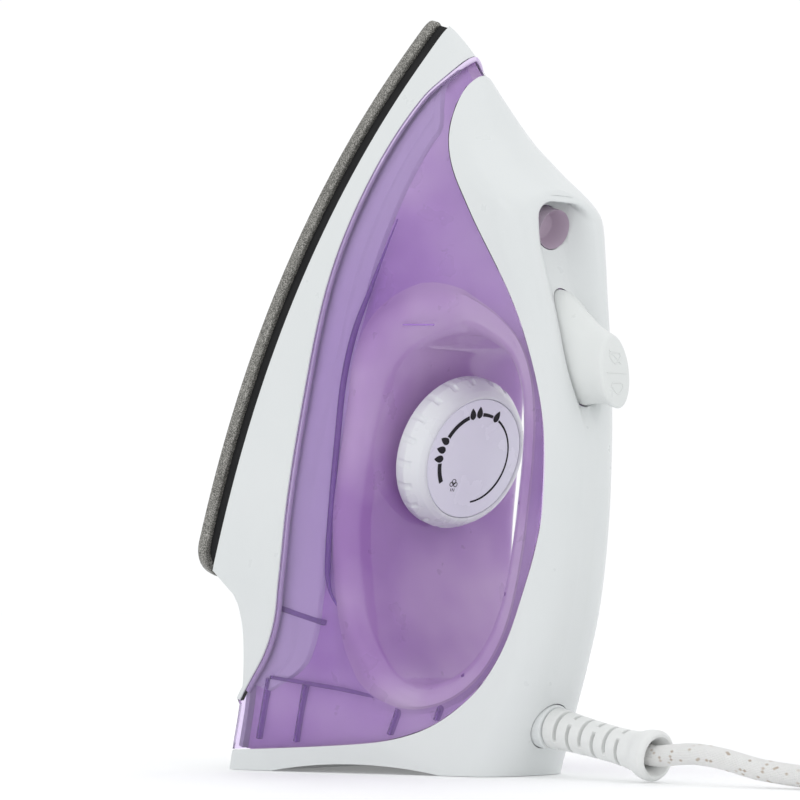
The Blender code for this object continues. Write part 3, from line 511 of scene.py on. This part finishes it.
def lathe(name, profile, at, steps=64, direction=(0, 0, 1), shape=None):
    """Solid turned about a line; shape(radius, height, angle) may carve a radius or a height."""
    points = []
    for radius, height in profile:
        for i in range(steps):
            turn = 2 * math.pi * i / steps
            r, z = shape(radius, height, turn) if shape else (radius, height)
            points.append((r * math.cos(turn), r * math.sin(turn), z))
    made = mesh_object(name, points, ring_faces(len(profile), steps))
    aim = Vector((0, 0, 1)).rotation_difference(Vector(direction)).to_matrix().to_4x4()
    made.data.transform(Matrix.Translation(Vector(at) * MM) @ aim)
    return outward(weld(made, 0.005))


def softened(profile, radius, steps=3):
    """Profile with its inner corners rounded."""
    made = [profile[0]]
    for a, b, c in zip(profile, profile[1:], profile[2:]):
        one, two = Vector(a) - Vector(b), Vector(c) - Vector(b)
        reach = min(radius, one.length / 2.2, two.length / 2.2)
        start, end = Vector(b) + one.normalized() * reach, Vector(b) + two.normalized() * reach
        for i in range(steps + 1):
            t = i / steps
            made.append(tuple(start * (1 - t) ** 2 + Vector(b) * 2 * t * (1 - t) + end * t * t))
    return made + [profile[-1]]


def sweep(name, path, radius, around=16, step=None):
    """Tube along a path; with step, its UV map counts braid carriers round and along it."""
    points, marks = [], []
    side = Vector((0, 0, 1))
    run = 0.0
    for i, here in enumerate(path):
        before, after = Vector(path[max(i - 1, 0)]), Vector(path[min(i + 1, len(path) - 1)])
        ahead = (after - before).normalized()
        side = (side - ahead * side.dot(ahead)).normalized()
        other = ahead.cross(side)
        run += (Vector(here) - before).length
        size = radius(i / (len(path) - 1)) if callable(radius) else radius
        for k in range(around):
            turn = 2 * math.pi * k / around
            points.append(Vector(here) + (side * math.cos(turn) + other * math.sin(turn)) * size)
        marks.append(run)
    last = (len(path) - 1) * around
    caps = [tuple(reversed(range(around))), tuple(range(last, last + around))]
    made = mesh_object(name, points, ring_faces(len(path), around) + caps)
    if step:
        layer = made.data.uv_layers.new(name="braid")
        for face in made.data.polygons[:-2]:
            i, k = divmod(face.index, around)
            corners = ((i, k), (i, k + 1), (i + 1, k + 1), (i + 1, k))
            for loop, (row, column) in zip(face.loop_indices, corners):
                layer.data[loop].uv = (BRAID_CARRIERS * column / around, marks[row] / step)
    return made, run


# Camera, and the cord with its plug and guards

def make_camera():
    data = bpy.data.cameras.new("view")
    data.lens, data.sensor_width = LENS, 36
    data.clip_end = 20
    made = bpy.data.objects.new("view", data)
    made.location = Vector(CAMERA_AT) * MM
    aim = Vector(CAMERA_AIM) * MM - made.location
    made.rotation_euler = aim.to_track_quat("-Z", "Y").to_euler()
    bpy.context.scene.collection.objects.link(made)
    bpy.context.scene.camera = made


def coil_path():
    """Lead wound inwards on the table and outwards on top, each turn stepping over in one sector."""
    first, sector = -90.0, 60.0
    rings = list(COIL_RINGS) + list(reversed(COIL_RINGS[1:]))
    climb = len(COIL_RINGS) - 1
    points = []
    angle = first
    while angle <= 360 * (len(rings) - 1) + 10:
        turn, rest = divmod(angle - first, 360)
        turn = int(turn)
        t = smoothstep((rest - 360 + sector) / sector)
        last = min(turn + 1, len(rings) - 1)
        radius = rings[turn] + (rings[last] - rings[turn]) * t
        z = COIL_BOTTOM if turn <= climb else COIL_BOTTOM + COIL_LAYER
        if turn == climb:
            z += COIL_LAYER * t
            radius -= 2.6 * min(1, 4 * t, 4 * (1 - t)) if t > 0 else 0
        z += COIL_LEAVES * smoothstep((angle - 360 * (len(rings) - 1) + 45) / 50)
        lean = math.radians(angle)
        points.append((COIL_CENTRE[0] + radius * math.cos(lean),
                       COIL_CENTRE[1] + radius * math.sin(lean), z))
        angle += 4.0
    return points


def cord():
    inside = [tuple(SWIVEL_AT[k] + SWIVEL_AXIS[k] * s for k in range(3)) for s in (54, 60, 65)]
    coil = coil_path()
    lead = smooth_route(inside + LEAD_ROUTE[1:] + [coil[0]], 2.5)
    tail = smooth_route([coil[-1]] + TAIL_ROUTE[1:], 2.5)
    path = lead + coil[1:] + tail[1:]
    made, length = sweep("mains_cord", path, CORD_RADIUS, 20, BRAID_STEP)
    made.data.materials.append(BRAID)
    made.data.shade_smooth()
    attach(made, "body")
    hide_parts("cord_lead", "cord_coil", "cord_tail")
    exit_at = tuple((SWIVEL_AT[k] + SWIVEL_AXIS[k] * GUARD_END) * MM for k in range(3))
    return made, exit_at, length * MM, [tuple(x * MM for x in point) for point in path]


def plug():
    """Round two-pin plug with grip ribs and a slotted strain relief."""
    face = PLUG_LENGTH
    profile = softened([(0, face), (17.4, face), (18.3, face - 1.2), (18.4, face - 8), (17.9, face - 10),
                        (18.4, face - 12), (18.2, face - 15), (15, face - 22), (9, face - 27), (6.2, 18),
                        (4.5, 1), (3.6, 0), (0, 0)], 1.2)

    def grip(radius, height, turn):
        band = smoothstep((height - 28) / 4) * smoothstep((46 - height) / 4)
        dent = 0.7 * band * smoothstep(math.cos(turn * 22) * 0.5 + 0.3)
        ring = 0.0
        if 4 < height < 24:
            ring = 0.9 * smoothstep(math.cos(height * 2 * math.pi / 4.2) * 1.5 - 0.4)
        return radius - dent - ring if radius > 4 else radius, height

    lines = []
    for (r0, z0), (r1, z1) in zip(profile, profile[1:]):
        parts = max(1, round(abs(z1 - z0) / 0.8))
        lines += [(r0 + (r1 - r0) * i / parts, z0 + (z1 - z0) * i / parts) for i in range(parts)]
    body = lathe("plug_moulding", lines + [profile[-1]], PLUG_AT, 96, PLUG_AXIS, grip)
    piece(body, VINYL, "body", ("plug_body",), stand=False)
    pins = []
    for name, side in (("plug_pin_left", -1), ("plug_pin_right", 1)):
        spot = (PLUG_AT[0], PLUG_AT[1] + side * PIN_SPREAD, PLUG_AT[2])
        sleeve = softened([(0, 46), (2.4, 46), (2.4, PIN_END - 9), (2.3, PIN_END - 9),
                           (2.3, PIN_END - 1.6), (0, PIN_END)], 0.9)
        pin = lathe(name + "_turned", sleeve, spot, 32, PLUG_AXIS)
        pins.append(piece(pin, STEEL, "body", (name,), stand=False))
    return [body, *pins]


def guard():
    """Soft guard: a tube with rings parted by slots that alternate, and a belled mouth."""
    outline = [(GUARD_START, 6.9), (22, 6.9), (27, 6.6), (40, 6.1), (52, 6.2), (58, 6.9), (61, 8.0),
               (63.5, 8.5), (65.4, 8.4), (GUARD_END, 7.4)]
    slots = [24.5 + 5.6 * k for k in range(6)]
    heights = [GUARD_START, GUARD_START + 0.4, GUARD_END - 0.3, GUARD_END]
    heights = sorted(heights + [GUARD_START + 0.35 * i for i in range(1, 135)])
    around, bore_radius, seat_radius = 72, CORD_RADIUS + 0.3, 6.5

    def carve(radius, height, turn):
        depth = 0.0
        for k, at in enumerate(slots):
            wide = smoothstep((0.85 - abs(height - at)) / 0.3)
            bridge = abs(math.sin(turn + (math.pi / 2 if k % 2 else 0) + math.pi / 4))
            depth = max(depth, 2.6 * wide * smoothstep((bridge - 0.22) / 0.12))
        return radius - depth, height

    profile = [(along(outline, s), s) for s in heights]
    profile[0] = (seat_radius, GUARD_START)
    inside = [(6.6, GUARD_END), (5.6, 65), (4.6, 62), (bore_radius, 58), (bore_radius, GUARD_START),
              (seat_radius, GUARD_START)]
    made = lathe("guard_moulding", profile, SWIVEL_AT, around, SWIVEL_AXIS, carve)
    bore = lathe("guard_bore", inside, SWIVEL_AT, around, SWIVEL_AXIS)
    joined = bmesh.new()
    joined.from_mesh(made.data)
    joined.from_mesh(bore.data)
    bmesh.ops.remove_doubles(joined, verts=joined.verts, dist=0.01 * MM)
    ends = [edge for edge in joined.edges if edge.is_boundary]
    if len(ends) == 2 * around:
        bmesh.ops.bridge_loops(joined, edges=ends)
    bmesh.ops.recalc_face_normals(joined, faces=joined.faces)
    joined.to_mesh(made.data)
    joined.free()
    bpy.data.objects.remove(bore, do_unlink=True)
    return piece(made, VINYL, "swivel", ("cord_guard",), stand=False)


def sleeve():
    bore, end = CORD_RADIUS + 0.4, GUARD_START - GAP
    profile = softened([(bore, end), (SLEEVE_RADIUS - 0.2, end), (SLEEVE_RADIUS, end - 1.2),
                        (SLEEVE_RADIUS, 2), (10, 2), (10, -2), (bore, -2), (bore, end)], 0.7)
    made = lathe("sleeve_moulding", profile, SWIVEL_AT, 96, SWIVEL_AXIS)
    return piece(made, HOUSING, "swivel", ("swivel_sleeve",), stand=False)


make_camera()
CORD, CORD_EXIT, CORD_LENGTH, CORD_PATH = cord()
PLUG_PIECES = plug()
GUARD = guard()
sleeve()


# Sole, shield and skirt

def sole_outline(inset=0.0, count=90):
    shrink = 1.12 * inset
    tip = 0.0
    while sole_half(tip) < shrink:
        tip += 0.05
    rear = SOLE_LENGTH - inset
    near = []
    for p in spread(tip, rear - SOLE_CORNER, count, 1.6):
        near.append((p, -max(sole_half(p) - shrink, 0)))
    for angle in range(80, -1, -10):
        lean = math.radians(angle)
        p = rear - SOLE_CORNER * (1 - math.cos(lean))
        near.append((p, -(sole_half(p) - shrink - SOLE_CORNER * (1 - math.sin(lean)))))
    far = [(p, -v) for p, v in reversed(near) if v < -0.01]
    return near + far


def vent_rows():
    centres = [(20, 0)]
    for p in (32, 46, 61, 77, 94, 112):
        for side in (-1, 1):
            centres.append((p, side * (sole_half(p) - VENT_INSET)))
    return centres


def soleplate():
    """Coated sole with a rounded edge, countersunk steam holes and a channel along each row."""
    holes = [circle(p, v, VENT_RADIUS, 20) for p, v in vent_rows()]
    plate = flat("sole_casting", sole_outline(), 0, SOLE_THICKNESS, holes, edge=1.1)
    for side in (-1, 1):
        line = [(p, side * (sole_half(p) - VENT_INSET), -0.7) for p in spread(26, 124, 40)]
        channel, _ = sweep(f"channel_{side + 1}", line,
                           lambda t: 0.2 + 1.5 * math.sin(math.pi * t) ** 0.4, 10)
        cut(plate, outward(channel))
    piece(baked(plate), SOLE, "body", ("soleplate",), smooth=50)


def heat_shield():
    ring = flat("shield_ring", sole_outline(SHIELD_INSET), SOLE_THICKNESS + GAP, SHIELD_TOP,
                [sole_outline(SHIELD_INSET + SHIELD_WIDTH)], edge=0.3)
    piece(ring, SHIELD, "body", ("heat_shield",))


def seam_line(seam, last, lead):
    line = [(-40, seam[0][1])]
    for q in spread(0, last, 160):
        h = along(seam, q)
        line.append((place(q, h), h))
    return line + lead


def beside(line, distance):
    """Line moved sideways, to its left as it runs."""
    moved = []
    last = len(line) - 1
    for i, (x, y) in enumerate(line):
        before, after = line[max(i - 1, 0)], line[min(i + 1, last)]
        dx, dy = after[0] - before[0], after[1] - before[1]
        size = math.hypot(dx, dy)
        moved.append((x - dy / size * distance, y + dx / size * distance))
    return moved


COVER_LINE = seam_line(COVER_SEAM, TANK_LENGTH, [(261.5, 30), (300, 30)])
SKIRT_LINE = seam_line(SKIRT_SEAM, SKIRT_END, [])


def skirt():
    rows = []
    for q in spread(0, SKIRT_END, 120, 1.25):
        top = along(SKIRT_SEAM, q) - GAP / 2
        foot = min(max(along(FOOT_LINE, q), SKIRT_FOOT), top - 2.0)
        line = [skin(q, foot, 0.7), skin(q, foot + 0.25, 0.2)]
        line += [skin(q, foot + 0.7 + (top - foot - 1.1) * t / 8) for t in range(9)]
        rows.append(line + [skin(q, top - 0.1, 0.12), skin(q, top, 0.4)])
    shell = thicken(mirrored(grid_sheet("skirt_shell", rows)), even=False)
    piece(baked(shell), HOUSING, "body", ("lower_skirt",))


# Tank

def tank_edge(e):
    if e <= TANK_LENGTH:
        return (e, along(SKIRT_SEAM, e) - SEAM_SPARE if e < SKIRT_END else along(FOOT_LINE, e))
    q = 2 * TANK_LENGTH - e
    nose = COVER_SEAM[0][1] + 0.72 * q if q < 40 else 0
    return (q, max(along(COVER_SEAM, q), nose) + SEAM_SPARE)


AROUND_P = [(k, GAP_EDGE[k % len(GAP_EDGE)][0]) for k in range(-2, 2 * len(GAP_EDGE))]
AROUND_H = [(k, GAP_EDGE[k % len(GAP_EDGE)][1]) for k in range(-2, 2 * len(GAP_EDGE))]


def gap_edge(g, out=0.0):
    step = 0.05
    dx = along(AROUND_P, g + step) - along(AROUND_P, g - step)
    dh = along(AROUND_H, g + step) - along(AROUND_H, g - step)
    size = math.hypot(dx, dh)
    return (along(AROUND_P, g) + dh / size * out, along(AROUND_H, g) - dx / size * out)


def spokes(finer):
    for (g0, e0, count), (g1, e1, _) in zip(SPOKES, SPOKES[1:]):
        for i in range(count * finer):
            yield g0 + (g1 - g0) * i / (count * finer), e0 + (e1 - e0) * i / (count * finer)
    yield SPOKES[-1][0], SPOKES[-1][1]


def tank_rows(finer, start, count, turn_step, across, lining=0.0, depth=0.0):
    """Sections of the tank's wall: from its outer edge, over the gap's lip, to mid lining."""
    rows = []
    for g, e in spokes(finer):
        lip = along(LIP, g % len(GAP_EDGE))
        p, h = gap_edge(g, lip + lining)
        flank = skin_half(p, h) - lining
        q_edge, h_edge = tank_edge(e)
        row = []
        for t in spread(start, 0.05, count):
            inset = lining + (depth - lining) * smoothstep(5 * t)
            row.append(skin(p + (q_edge - p) * t, h + (h_edge - h) * t, inset))
        for turn in range(90, -1, -turn_step):
            lean = math.radians(turn)
            p, h = gap_edge(g, lining + lip * (1 - math.cos(lean)))
            row.append((p, lip - lip * math.sin(lean) - flank, h))
        p, h = gap_edge(g, lining)
        row += [(p, (lip - flank) * (1 - t / across), h) for t in range(1, across + 1)]
        rows.append(row)
    return rows


def tank_shell():
    """Clear lilac shell with the lining of the finger gap and its rolled lip."""
    shell = thicken(mirrored(grid_sheet("tank_moulding", tank_rows(4, 1.0, 14, 10, 6), closed=True)))
    above = beside(COVER_LINE, -GAP / 2) + [(300, 160), (-40, 160)]
    below = beside(SKIRT_LINE, GAP / 2) + [(SKIRT_END, 0), (-40, 0)]
    cut(shell, prism("above_cover_seam", above))
    cut(shell, prism("below_skirt_seam", below))
    cut(shell, flat("dial_well_hole", circle(DIAL_P, 0, 7.1, 48), 45, 60))
    piece(baked(shell), LILAC, "body", ("tank_shell",))


def tank_vessel():
    """Milky inner wall of the tank, a few millimetres behind the clear shell and the gap's lining; its
    faint violet glow is painted light standing in for light carried through the tank's walls.
    """
    rows = tank_rows(3, 0.98, 12, 15, 4, LINING_INSET, VESSEL_INSET)
    shell = thicken(mirrored(grid_sheet("tank_vessel", rows, closed=True)), 1.0, even=False)
    piece(baked(shell), VESSEL_PAINTED_GLOW, "body")


def tank_liner():
    """Pale tray that the shell sits over; its upright rim shows as the light band."""
    rows = []
    for q in spread(1.5, 236, 110, 1.3):
        seam = along(SKIRT_SEAM, q)
        foot = max(TANK_FLOOR, along(FOOT_LINE, q) + 4)
        low = min(foot + 0.8, seam - 4.0)
        top = seam + BAND_HEIGHT * smoothstep((q - 14) / 14) * smoothstep((250 - q) / 30)
        line = [skin(q, foot + 2, WALL + 30 - 27 * t) for t in spread(0, 1, 8)]
        line = [(p, v, foot) for p, v, _ in line]
        for t in spread(0, 1, 15):
            groove = 0.8 * smoothstep(1 - abs(t - 0.62) / 0.09)
            line.append(skin(q, low + (top - low) * t, WALL + 1.4 + groove))
        line.append(skin(q, top + 0.7, WALL + 2.4))
        line.append(skin(q, top + 0.6, WALL + 4.0))
        rows.append(line)
    tray = mirrored(thicken(grid_sheet("tank_tray_rim", rows), 1.2, even=False))
    piece(outward(baked(tray)), LINER, "body", ("tank_base",))


def tank_beads():
    """Rounded edge of the shell along the skirt, the inner wall's edge and the level line."""
    seam = [skin(q, along(SKIRT_SEAM, q) + 0.9, 1.0) for q in spread(0.4, 238.5, 150, 1.3)]
    wall = [skin(q, h, 2.9) for q, h in smooth_route(INNER_WALL, 2.0)]
    level = [skin(q, h, -0.05) for q, h in smooth_route(LEVEL_LINE, 1.0)]

    def wall_size(t):
        return 0.25 + 0.85 * smoothstep(3 * t) * smoothstep(8 * (1 - t))

    beads = (("seam_bead", seam, 0.95, LILAC_EDGE), ("inner_wall_edge", wall, wall_size, LILAC_WALL),
             ("level_line", level, 0.3, LILAC_WALL))
    for name, path, radius, paint in beads:
        made, _ = sweep(name, path, radius, 10)
        piece(outward(baked(mirrored(made))), paint, "body")


def rib_plate(name, corners, wall=1.2):
    """Thin plate from four (p, v, h) corners."""
    a, b, c = (Vector(corner) for corner in corners[:3])
    normal = (b - a).cross(c - a).normalized() * (wall / 2)
    points = [Vector(x) + normal for x in corners] + [Vector(x) - normal for x in corners]
    faces = [(0, 1, 2, 3), (7, 6, 5, 4), (0, 4, 5, 1), (1, 5, 6, 2), (2, 6, 7, 3), (3, 7, 4, 0)]
    return outward(mesh_object(name, points, faces))


def tank_ribs():
    """Moulded ribs: four across the lining under the handle, and the heel's inner walls."""
    across = ((113, 100.5, 0.30), (146, 108, 0.12), (177, 111.2, 0.0), (207, 104.5, -0.6))
    for i, (p, h, lean) in enumerate(across):
        wide = skin_half(p, h + 3) - WALL - 0.6
        run, rise = math.sin(lean), math.cos(lean)
        corners = [(p - run * out, wide * share, h + rise * out)
                   for out, share in ((2.6, -1), (2.6, 1), (7.5, 0.96), (7.5, -0.96))]
        piece(rib_plate(f"lining_rib_{i + 1}", corners), LILAC_RIB, "body")
    wall_line = [(231, 42), (228.5, 56), (226.5, 68), (225, 80)]
    heel_lines = (((231.8, 41), (254, 41)), ((229.4, 55), (250, 55.5)),
                  ((226.5, 88.7), (236, 88)), ((220, 102.4), (226, 102)))
    for side, which in ((-1, "near"), (1, "far")):
        points, faces = [], []
        for p, h in wall_line:
            outer = skin_half(p, h) - WALL - 0.5
            for v in (outer, outer - 16):
                points += [(p - 0.6, side * v, h), (p + 0.6, side * v, h)]
        for a in range(0, len(points) - 4, 4):
            faces += [(a + i, a + j, a + 4 + j, a + 4 + i) for i, j in ((0, 1), (2, 0), (3, 2), (1, 3))]
        faces += [(0, 2, 3, 1), (12, 13, 15, 14)]
        wall = outward(mesh_object(f"heel_wall_{which}", points, faces))
        piece(wall, LILAC_RIB, "body")
        for i, ((p0, h0), (p1, h1)) in enumerate(heel_lines):
            v0, v1 = skin_half(p0, h0) - WALL - 0.5, skin_half(p1, h1) - WALL - 0.9
            corners = [(p0, side * v0, h0), (p1, side * v1, h1), (p1, side * (v1 - 8), h1),
                       (p0, side * (v0 - 8), h0)]
            piece(rib_plate(f"heel_rib_{i + 1}_{which}", corners), LILAC_RIB, "body")



# Cover

def cover_line(q, low, side_count, scoop_count):
    """Section of the cover at station q, from height low up the flank and over to the middle."""
    top, roll = along(RIDGE, q), along(ROLL, q)
    upright = max(top - roll - low, 0)
    start = math.asin(min(max((low - top + roll) / roll, 0), 1))
    shoulder = side_half(q, top - roll)
    share = along(SCOOP_SHARE, q)
    inner = shoulder * share
    line = []
    for s in spread(0, upright + roll * (math.pi / 2 - start), side_count):
        if s <= upright:
            line.append(skin(q, low + s))
            continue
        lean = start + (s - upright) / roll
        h = top - roll + roll * math.sin(lean)
        line.append((place(q, h), -(inner + (shoulder - inner) * math.cos(lean)), h))
    depth = along(SCOOP_DEPTH, q)
    for i in range(1, scoop_count + 1):
        t = i / scoop_count
        sunk = math.sin(math.pi / 2 * min(t * 1.3, 1)) ** 2
        h = top - depth * sunk
        reach = along(HOOD_REACH, q) * sunk * depth / 12.5
        line.append((place(q, h) - reach, -inner * (1 - t), h))
    return line


def cover():
    stations = spread(0, 230, 104, 1.2) + spread(232, 272, 20)
    rows = []
    for q in stations:
        low = along(COVER_SEAM, q) - SEAM_SPARE if q < TANK_LENGTH else along(FOOT_LINE, q)
        rows.append(cover_line(q, low, 20, 14))
    shell = thicken(mirrored(grid_sheet("cover_moulding", rows)))
    cut(shell, prism("below_cover_seam", beside(COVER_LINE, GAP / 2) + [(300, 0), (-40, 0)]))
    stand_back = STAND.inverted()
    corners = [(x, y, z) for x in (-180, 225) for y in (-150, 150) for z in (-100, 0)]
    table = mesh_object("below_heel", corners, [(0, 1, 3, 2), (4, 6, 7, 5), (0, 4, 5, 1), (2, 3, 7, 6),
                                                (0, 2, 6, 4), (1, 5, 7, 3)])
    outward(table).data.transform(stand_back)
    cut(shell, table)
    arch = lathe("heel_arch", [(0, -80), (170, -80), (170, 80), (0, 80)],
                 (-15.5, 0, -167), 160, (0, 1, 0))
    arch.data.transform(stand_back)
    cut(shell, arch)
    tube = lathe("swivel_hole", [(0, 3), (SLEEVE_RADIUS + GAP, 3), (SLEEVE_RADIUS + GAP, 40), (0, 40)],
                 SWIVEL_AT, 64, SWIVEL_AXIS)
    tube.data.transform(stand_back)
    cut(shell, tube)
    cut(shell, flat("filler_hole", circle(FILLER_P, 0, FILLER_RADIUS, 40), 62, 95))
    cut(shell, flat("knob_hole", oval(KNOB_P, 0, 17.7, 9.5, 64), 84, 130))
    piece(baked(shell), HOUSING, "body", ("upper_cover",), smooth=45)


def throat():
    """Rounded mouth and bottom of the filling hole under the cover's hood, painted mauve-grey as shade
    tinted by light through the lilac tank.
    """
    top = along(RIDGE, FILLER_P) - along(SCOOP_DEPTH, FILLER_P)
    cup = softened([(0, top - 9), (4.5, top - 9), (5.6, top - 6), (6.9, top - 2.4), (6.9, top - 10),
                    (0, top - 10)], 0.5)
    piece(lathe("filler_throat", cup, (FILLER_P, 0, 0), 64), FILLER_PAINTED_SHADE, "body")


# Dial and knob

def dial():
    """Dial cup with small dents round the front of its rim."""
    base, top, seat, inner = DIAL_FACE - DIAL_THICKNESS, DIAL_FACE, DIAL_FACE - 3.5, DIAL_FACE_RADIUS
    profile = softened([(inner, top - 2.0), (inner, top - 0.3), (inner + 0.5, top),
                        (inner + 1.3, top - 0.25), (24.3, top - 1.4), (25.6, DIAL_LIP + 2.5),
                        (26.5, DIAL_LIP + 1), (DIAL_RADIUS, DIAL_LIP - 0.4), (DIAL_RADIUS, base + 0.4),
                        (26.6, base), (25.4, base), (25.4, DIAL_LIP - 1.5), (inner, seat - 2),
                        (6.5, seat - 2), (6.5, 50.4), (3.2, 50.4), (3.2, seat), (inner, seat),
                        (inner, top - 2.0)], 0.35)

    def dents(radius, height, turn):
        step = 2 * math.pi / DIAL_NOTCHES
        near = ((turn / step) % 1 - 0.5) * step * DIAL_RADIUS
        dent = smoothstep((1.2 - abs(near)) / 0.5)
        if radius > 26 and height > DIAL_LIP - 3:
            return radius - 0.6 * dent, height - 0.3 * dent
        return radius, height

    cup = lathe("dial_cup", profile, (DIAL_P, 0, 0), 400, (0, 0, 1), dents)
    piece(cup, DIAL_WHITE, "dial", ("dial_knob",), smooth=50)
    face, edge = DIAL_FACE - 0.35, DIAL_FACE_RADIUS - 0.12
    disc = softened([(0, face), (edge - 0.3, face), (edge, face - 0.2), (edge, face - 2.7),
                     (0, face - 2.7)], 0.15)
    face_plate = lathe("dial_disc", disc, (DIAL_P, 0, 0), 128)
    piece(face_plate, FACE_WHITE, "dial", ("dial_face",))


def dial_spot(radius, angle):
    """Place on the dial's face; the angle starts at the iron's nose and runs towards +v."""
    lean = math.radians(angle)
    return (DIAL_P - radius * math.cos(lean), radius * math.sin(lean))


def ink(name, loops):
    """Printed shapes, each a strip of (left, right) pairs, a tenth of a millimetre thick."""
    low, high = DIAL_FACE - 0.37, DIAL_FACE - 0.27
    points, faces = [], []
    for strip in loops:
        start = len(points)
        for left, right in strip:
            points += [(*left, low), (*right, low), (*right, high), (*left, high)]
        for k in range(len(strip) - 1):
            a, b = start + 4 * k, start + 4 * k + 4
            faces += [(a + i, a + (i + 1) % 4, b + (i + 1) % 4, b + i) for i in range(4)]
        end = len(points) - 4
        faces += [(start, start + 3, start + 2, start + 1), (end, end + 1, end + 2, end + 3)]
    made = weld(mesh_object(name, points, faces), 0.001)
    return piece(outward(made), INK, "dial")


def arc_strip(start, end):
    """Stretch of the scale's arc, its width read from ARC_WIDTHS."""
    strip = []
    for angle in spread(start, end, 61):
        half = along(ARC_WIDTHS, angle) / 2
        strip.append((dial_spot(ARC_RADIUS - half, angle), dial_spot(ARC_RADIUS + half, angle)))
    return strip


def leaf_strip(angle):
    """Heat mark: a small leaf pointing outwards."""
    strip = []
    for t in spread(0, 1, 13):
        half = LEAF_HALF_WIDTH * math.sin(math.pi * t ** 0.72) ** 0.8 if 0 < t < 1 else 0.02
        out = LEAF_RADIUS + LEAF_LENGTH * (t - 0.4)
        side = math.degrees(half / out)
        strip.append((dial_spot(out, angle - side), dial_spot(out, angle + side)))
    return strip


def dial_marks():
    """Scale without words: a widening arc, the one, two and three heat marks, a cloud near the end."""
    parts = [arc_strip(a, b) for a, b in ((-124, -98), (-63, -24), (-1, 17), (29, 170))]
    parts += [leaf_strip(angle) for angle in (-92, -80.5, -69, -18, -7, 23)]
    x, y = dial_spot(*CLOUD_SPOT)
    for dx, dy, size in ((0.0, -0.9, 0.8), (-0.85, 0.0, 0.9), (0.1, 0.95, 0.8)):
        edges = [circle(x + dx, y + dy, size + out) for out in (-CLOUD_LINE, CLOUD_LINE)]
        ring = list(zip(*edges))
        parts.append(ring + ring[:1])
    for k in (-0.8, 0.0, 0.8):
        parts.append([((x + out, y + k - 0.1), (x + out, y + k + 0.1)) for out in (1.5, 2.6)])
    ink("dial_marks", parts)


def knob_ring(t):
    """Ring of the knob's side at a share t of the way up its rings."""
    return [along([(i, ring[k]) for i, ring in enumerate(KNOB_RINGS)], t) for k in range(5)]


def knob():
    """Oval push knob flaring into the scoop, with a rounded end and two raised signs."""
    around = 96
    last = len(KNOB_RINGS) - 2
    rings = [knob_ring(t) for t in spread(0, last, 34)]
    p, h, long, wide, slope = rings[-1]
    for turn in range(15, 91, 15):
        lean = math.radians(turn)
        back = 1.2 * (1 - math.cos(lean))
        rings.append([p, h + 1.2 * math.sin(lean), long - back, wide - back, slope])
    points = []
    for p, h, long, wide, slope in rings:
        for x, v in oval(0, 0, long, wide, around):
            points.append((p + x, v, h + slope * x))
    end = (len(rings) - 1) * around
    caps = [tuple(reversed(range(around))), tuple(range(end, end + around))]
    made = outward(mesh_object("knob_moulding", points, ring_faces(len(rings), around) + caps))
    piece(made, KNOB_WHITE, "knob", ("steam_knob",), smooth=30)
    p, h, _, _, slope = rings[-1]

    def sign(name, line, closed=False):
        route = [(p + x, v, h + slope * x + 0.02) for x, v in line]
        if closed:
            route.append(route[0])
        bar, _ = sweep(name, smooth_route(route, 0.3), 0.22, 8)
        piece(outward(bar), KNOB_WHITE, "knob")

    sign("knob_bar", [(0.3, -4.6), (0.3, 4.6)])
    for name, x0 in (("steam_off", -4.6), ("steam_on", 4.8)):
        cloud = []
        for i in range(24):
            turn = 2 * math.pi * i / 24
            puff = 1 + 0.16 * math.cos(3 * turn)
            cloud.append((x0 + 1.7 * puff * math.cos(turn), 2.5 * puff * math.sin(turn)))
        sign("knob_" + name, cloud, True)
    sign("knob_slash", [(-6.8, -2.6), (-2.5, 2.6)])


def carried_over():
    """CAD nodes whose shape is right take a finished material."""
    finishes = ((INNER_WHITE, ("rear_cover",)), (HOUSING, ("heel_underside",)),
                (CAST, ("heater_casting", "chamber_lid")),
                (STEEL, ("rear_screw_1", "rear_screw_2", "heating_element", "thermostat",
                         "thermal_fuse", "valve_spring", "valve_rod")),
                (LILAC_RIB, ("tank_bulkhead", "tank_top", "filler_neck", "dial_well")),
                (RUBBER, ("valve_seat",)), (VINYL, ("terminal_block", "cord_clamp")),
                (BRASS, ("thermostat_shaft",)))
    for paint, names in finishes:
        for name in names:
            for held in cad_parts[name].material_slots:
                held.material = paint


def floor_and_light():
    floor = mesh_object("floor", [(x, y, 0) for x, y in circle(0, 0, 9000, 96)], [tuple(range(96))])
    floor.data.transform(Matrix.Translation((0, 0, -0.0002)))
    paper = finish_of("floor_paper", ((0.86, 0.865, 0.87), (0.88, 0.885, 0.89)), (0.6, 0.75), tone=4.0,
                      grain=300.0, relief=0.02)
    glow = paper.node_tree.nodes["Principled BSDF"].inputs
    glow["Emission Color"].default_value = (1, 1, 1, 1)
    glow["Emission Strength"].default_value = 0.11
    floor.data.materials.append(paper)
    world = bpy.data.worlds.new("studio")
    world.use_nodes = True
    bpy.context.scene.world = world
    sky = world.node_tree.nodes["Background"]
    sky.inputs["Color"].default_value = (0.985, 0.992, 1.0, 1)
    sky.inputs["Strength"].default_value = 1.03
    lamps = (("key", (0.3, -1.7, 1.6), 1.3, 3.0), ("fill", (1.7, 0.3, 1.0), 1.2, 1.0),
             ("top", (-0.2, 0.2, 2.2), 1.8, 3.0))
    for name, at, size, power in lamps:
        data = bpy.data.lights.new(name, "AREA")
        data.size, data.energy = size, power
        lamp = bpy.data.objects.new(name, data)
        lamp.location = at
        lamp.rotation_euler = (Vector((0, 0, 0.12)) - Vector(at)).to_track_quat("-Z", "Y").to_euler()
        bpy.context.scene.collection.objects.link(lamp)
    bpy.context.scene.view_settings.view_transform = "Standard"


soleplate()
heat_shield()
skirt()
tank_shell()
tank_vessel()
tank_liner()
tank_beads()
tank_ribs()
cover()
throat()
dial()
dial_marks()
knob()
carried_over()
floor_and_light()
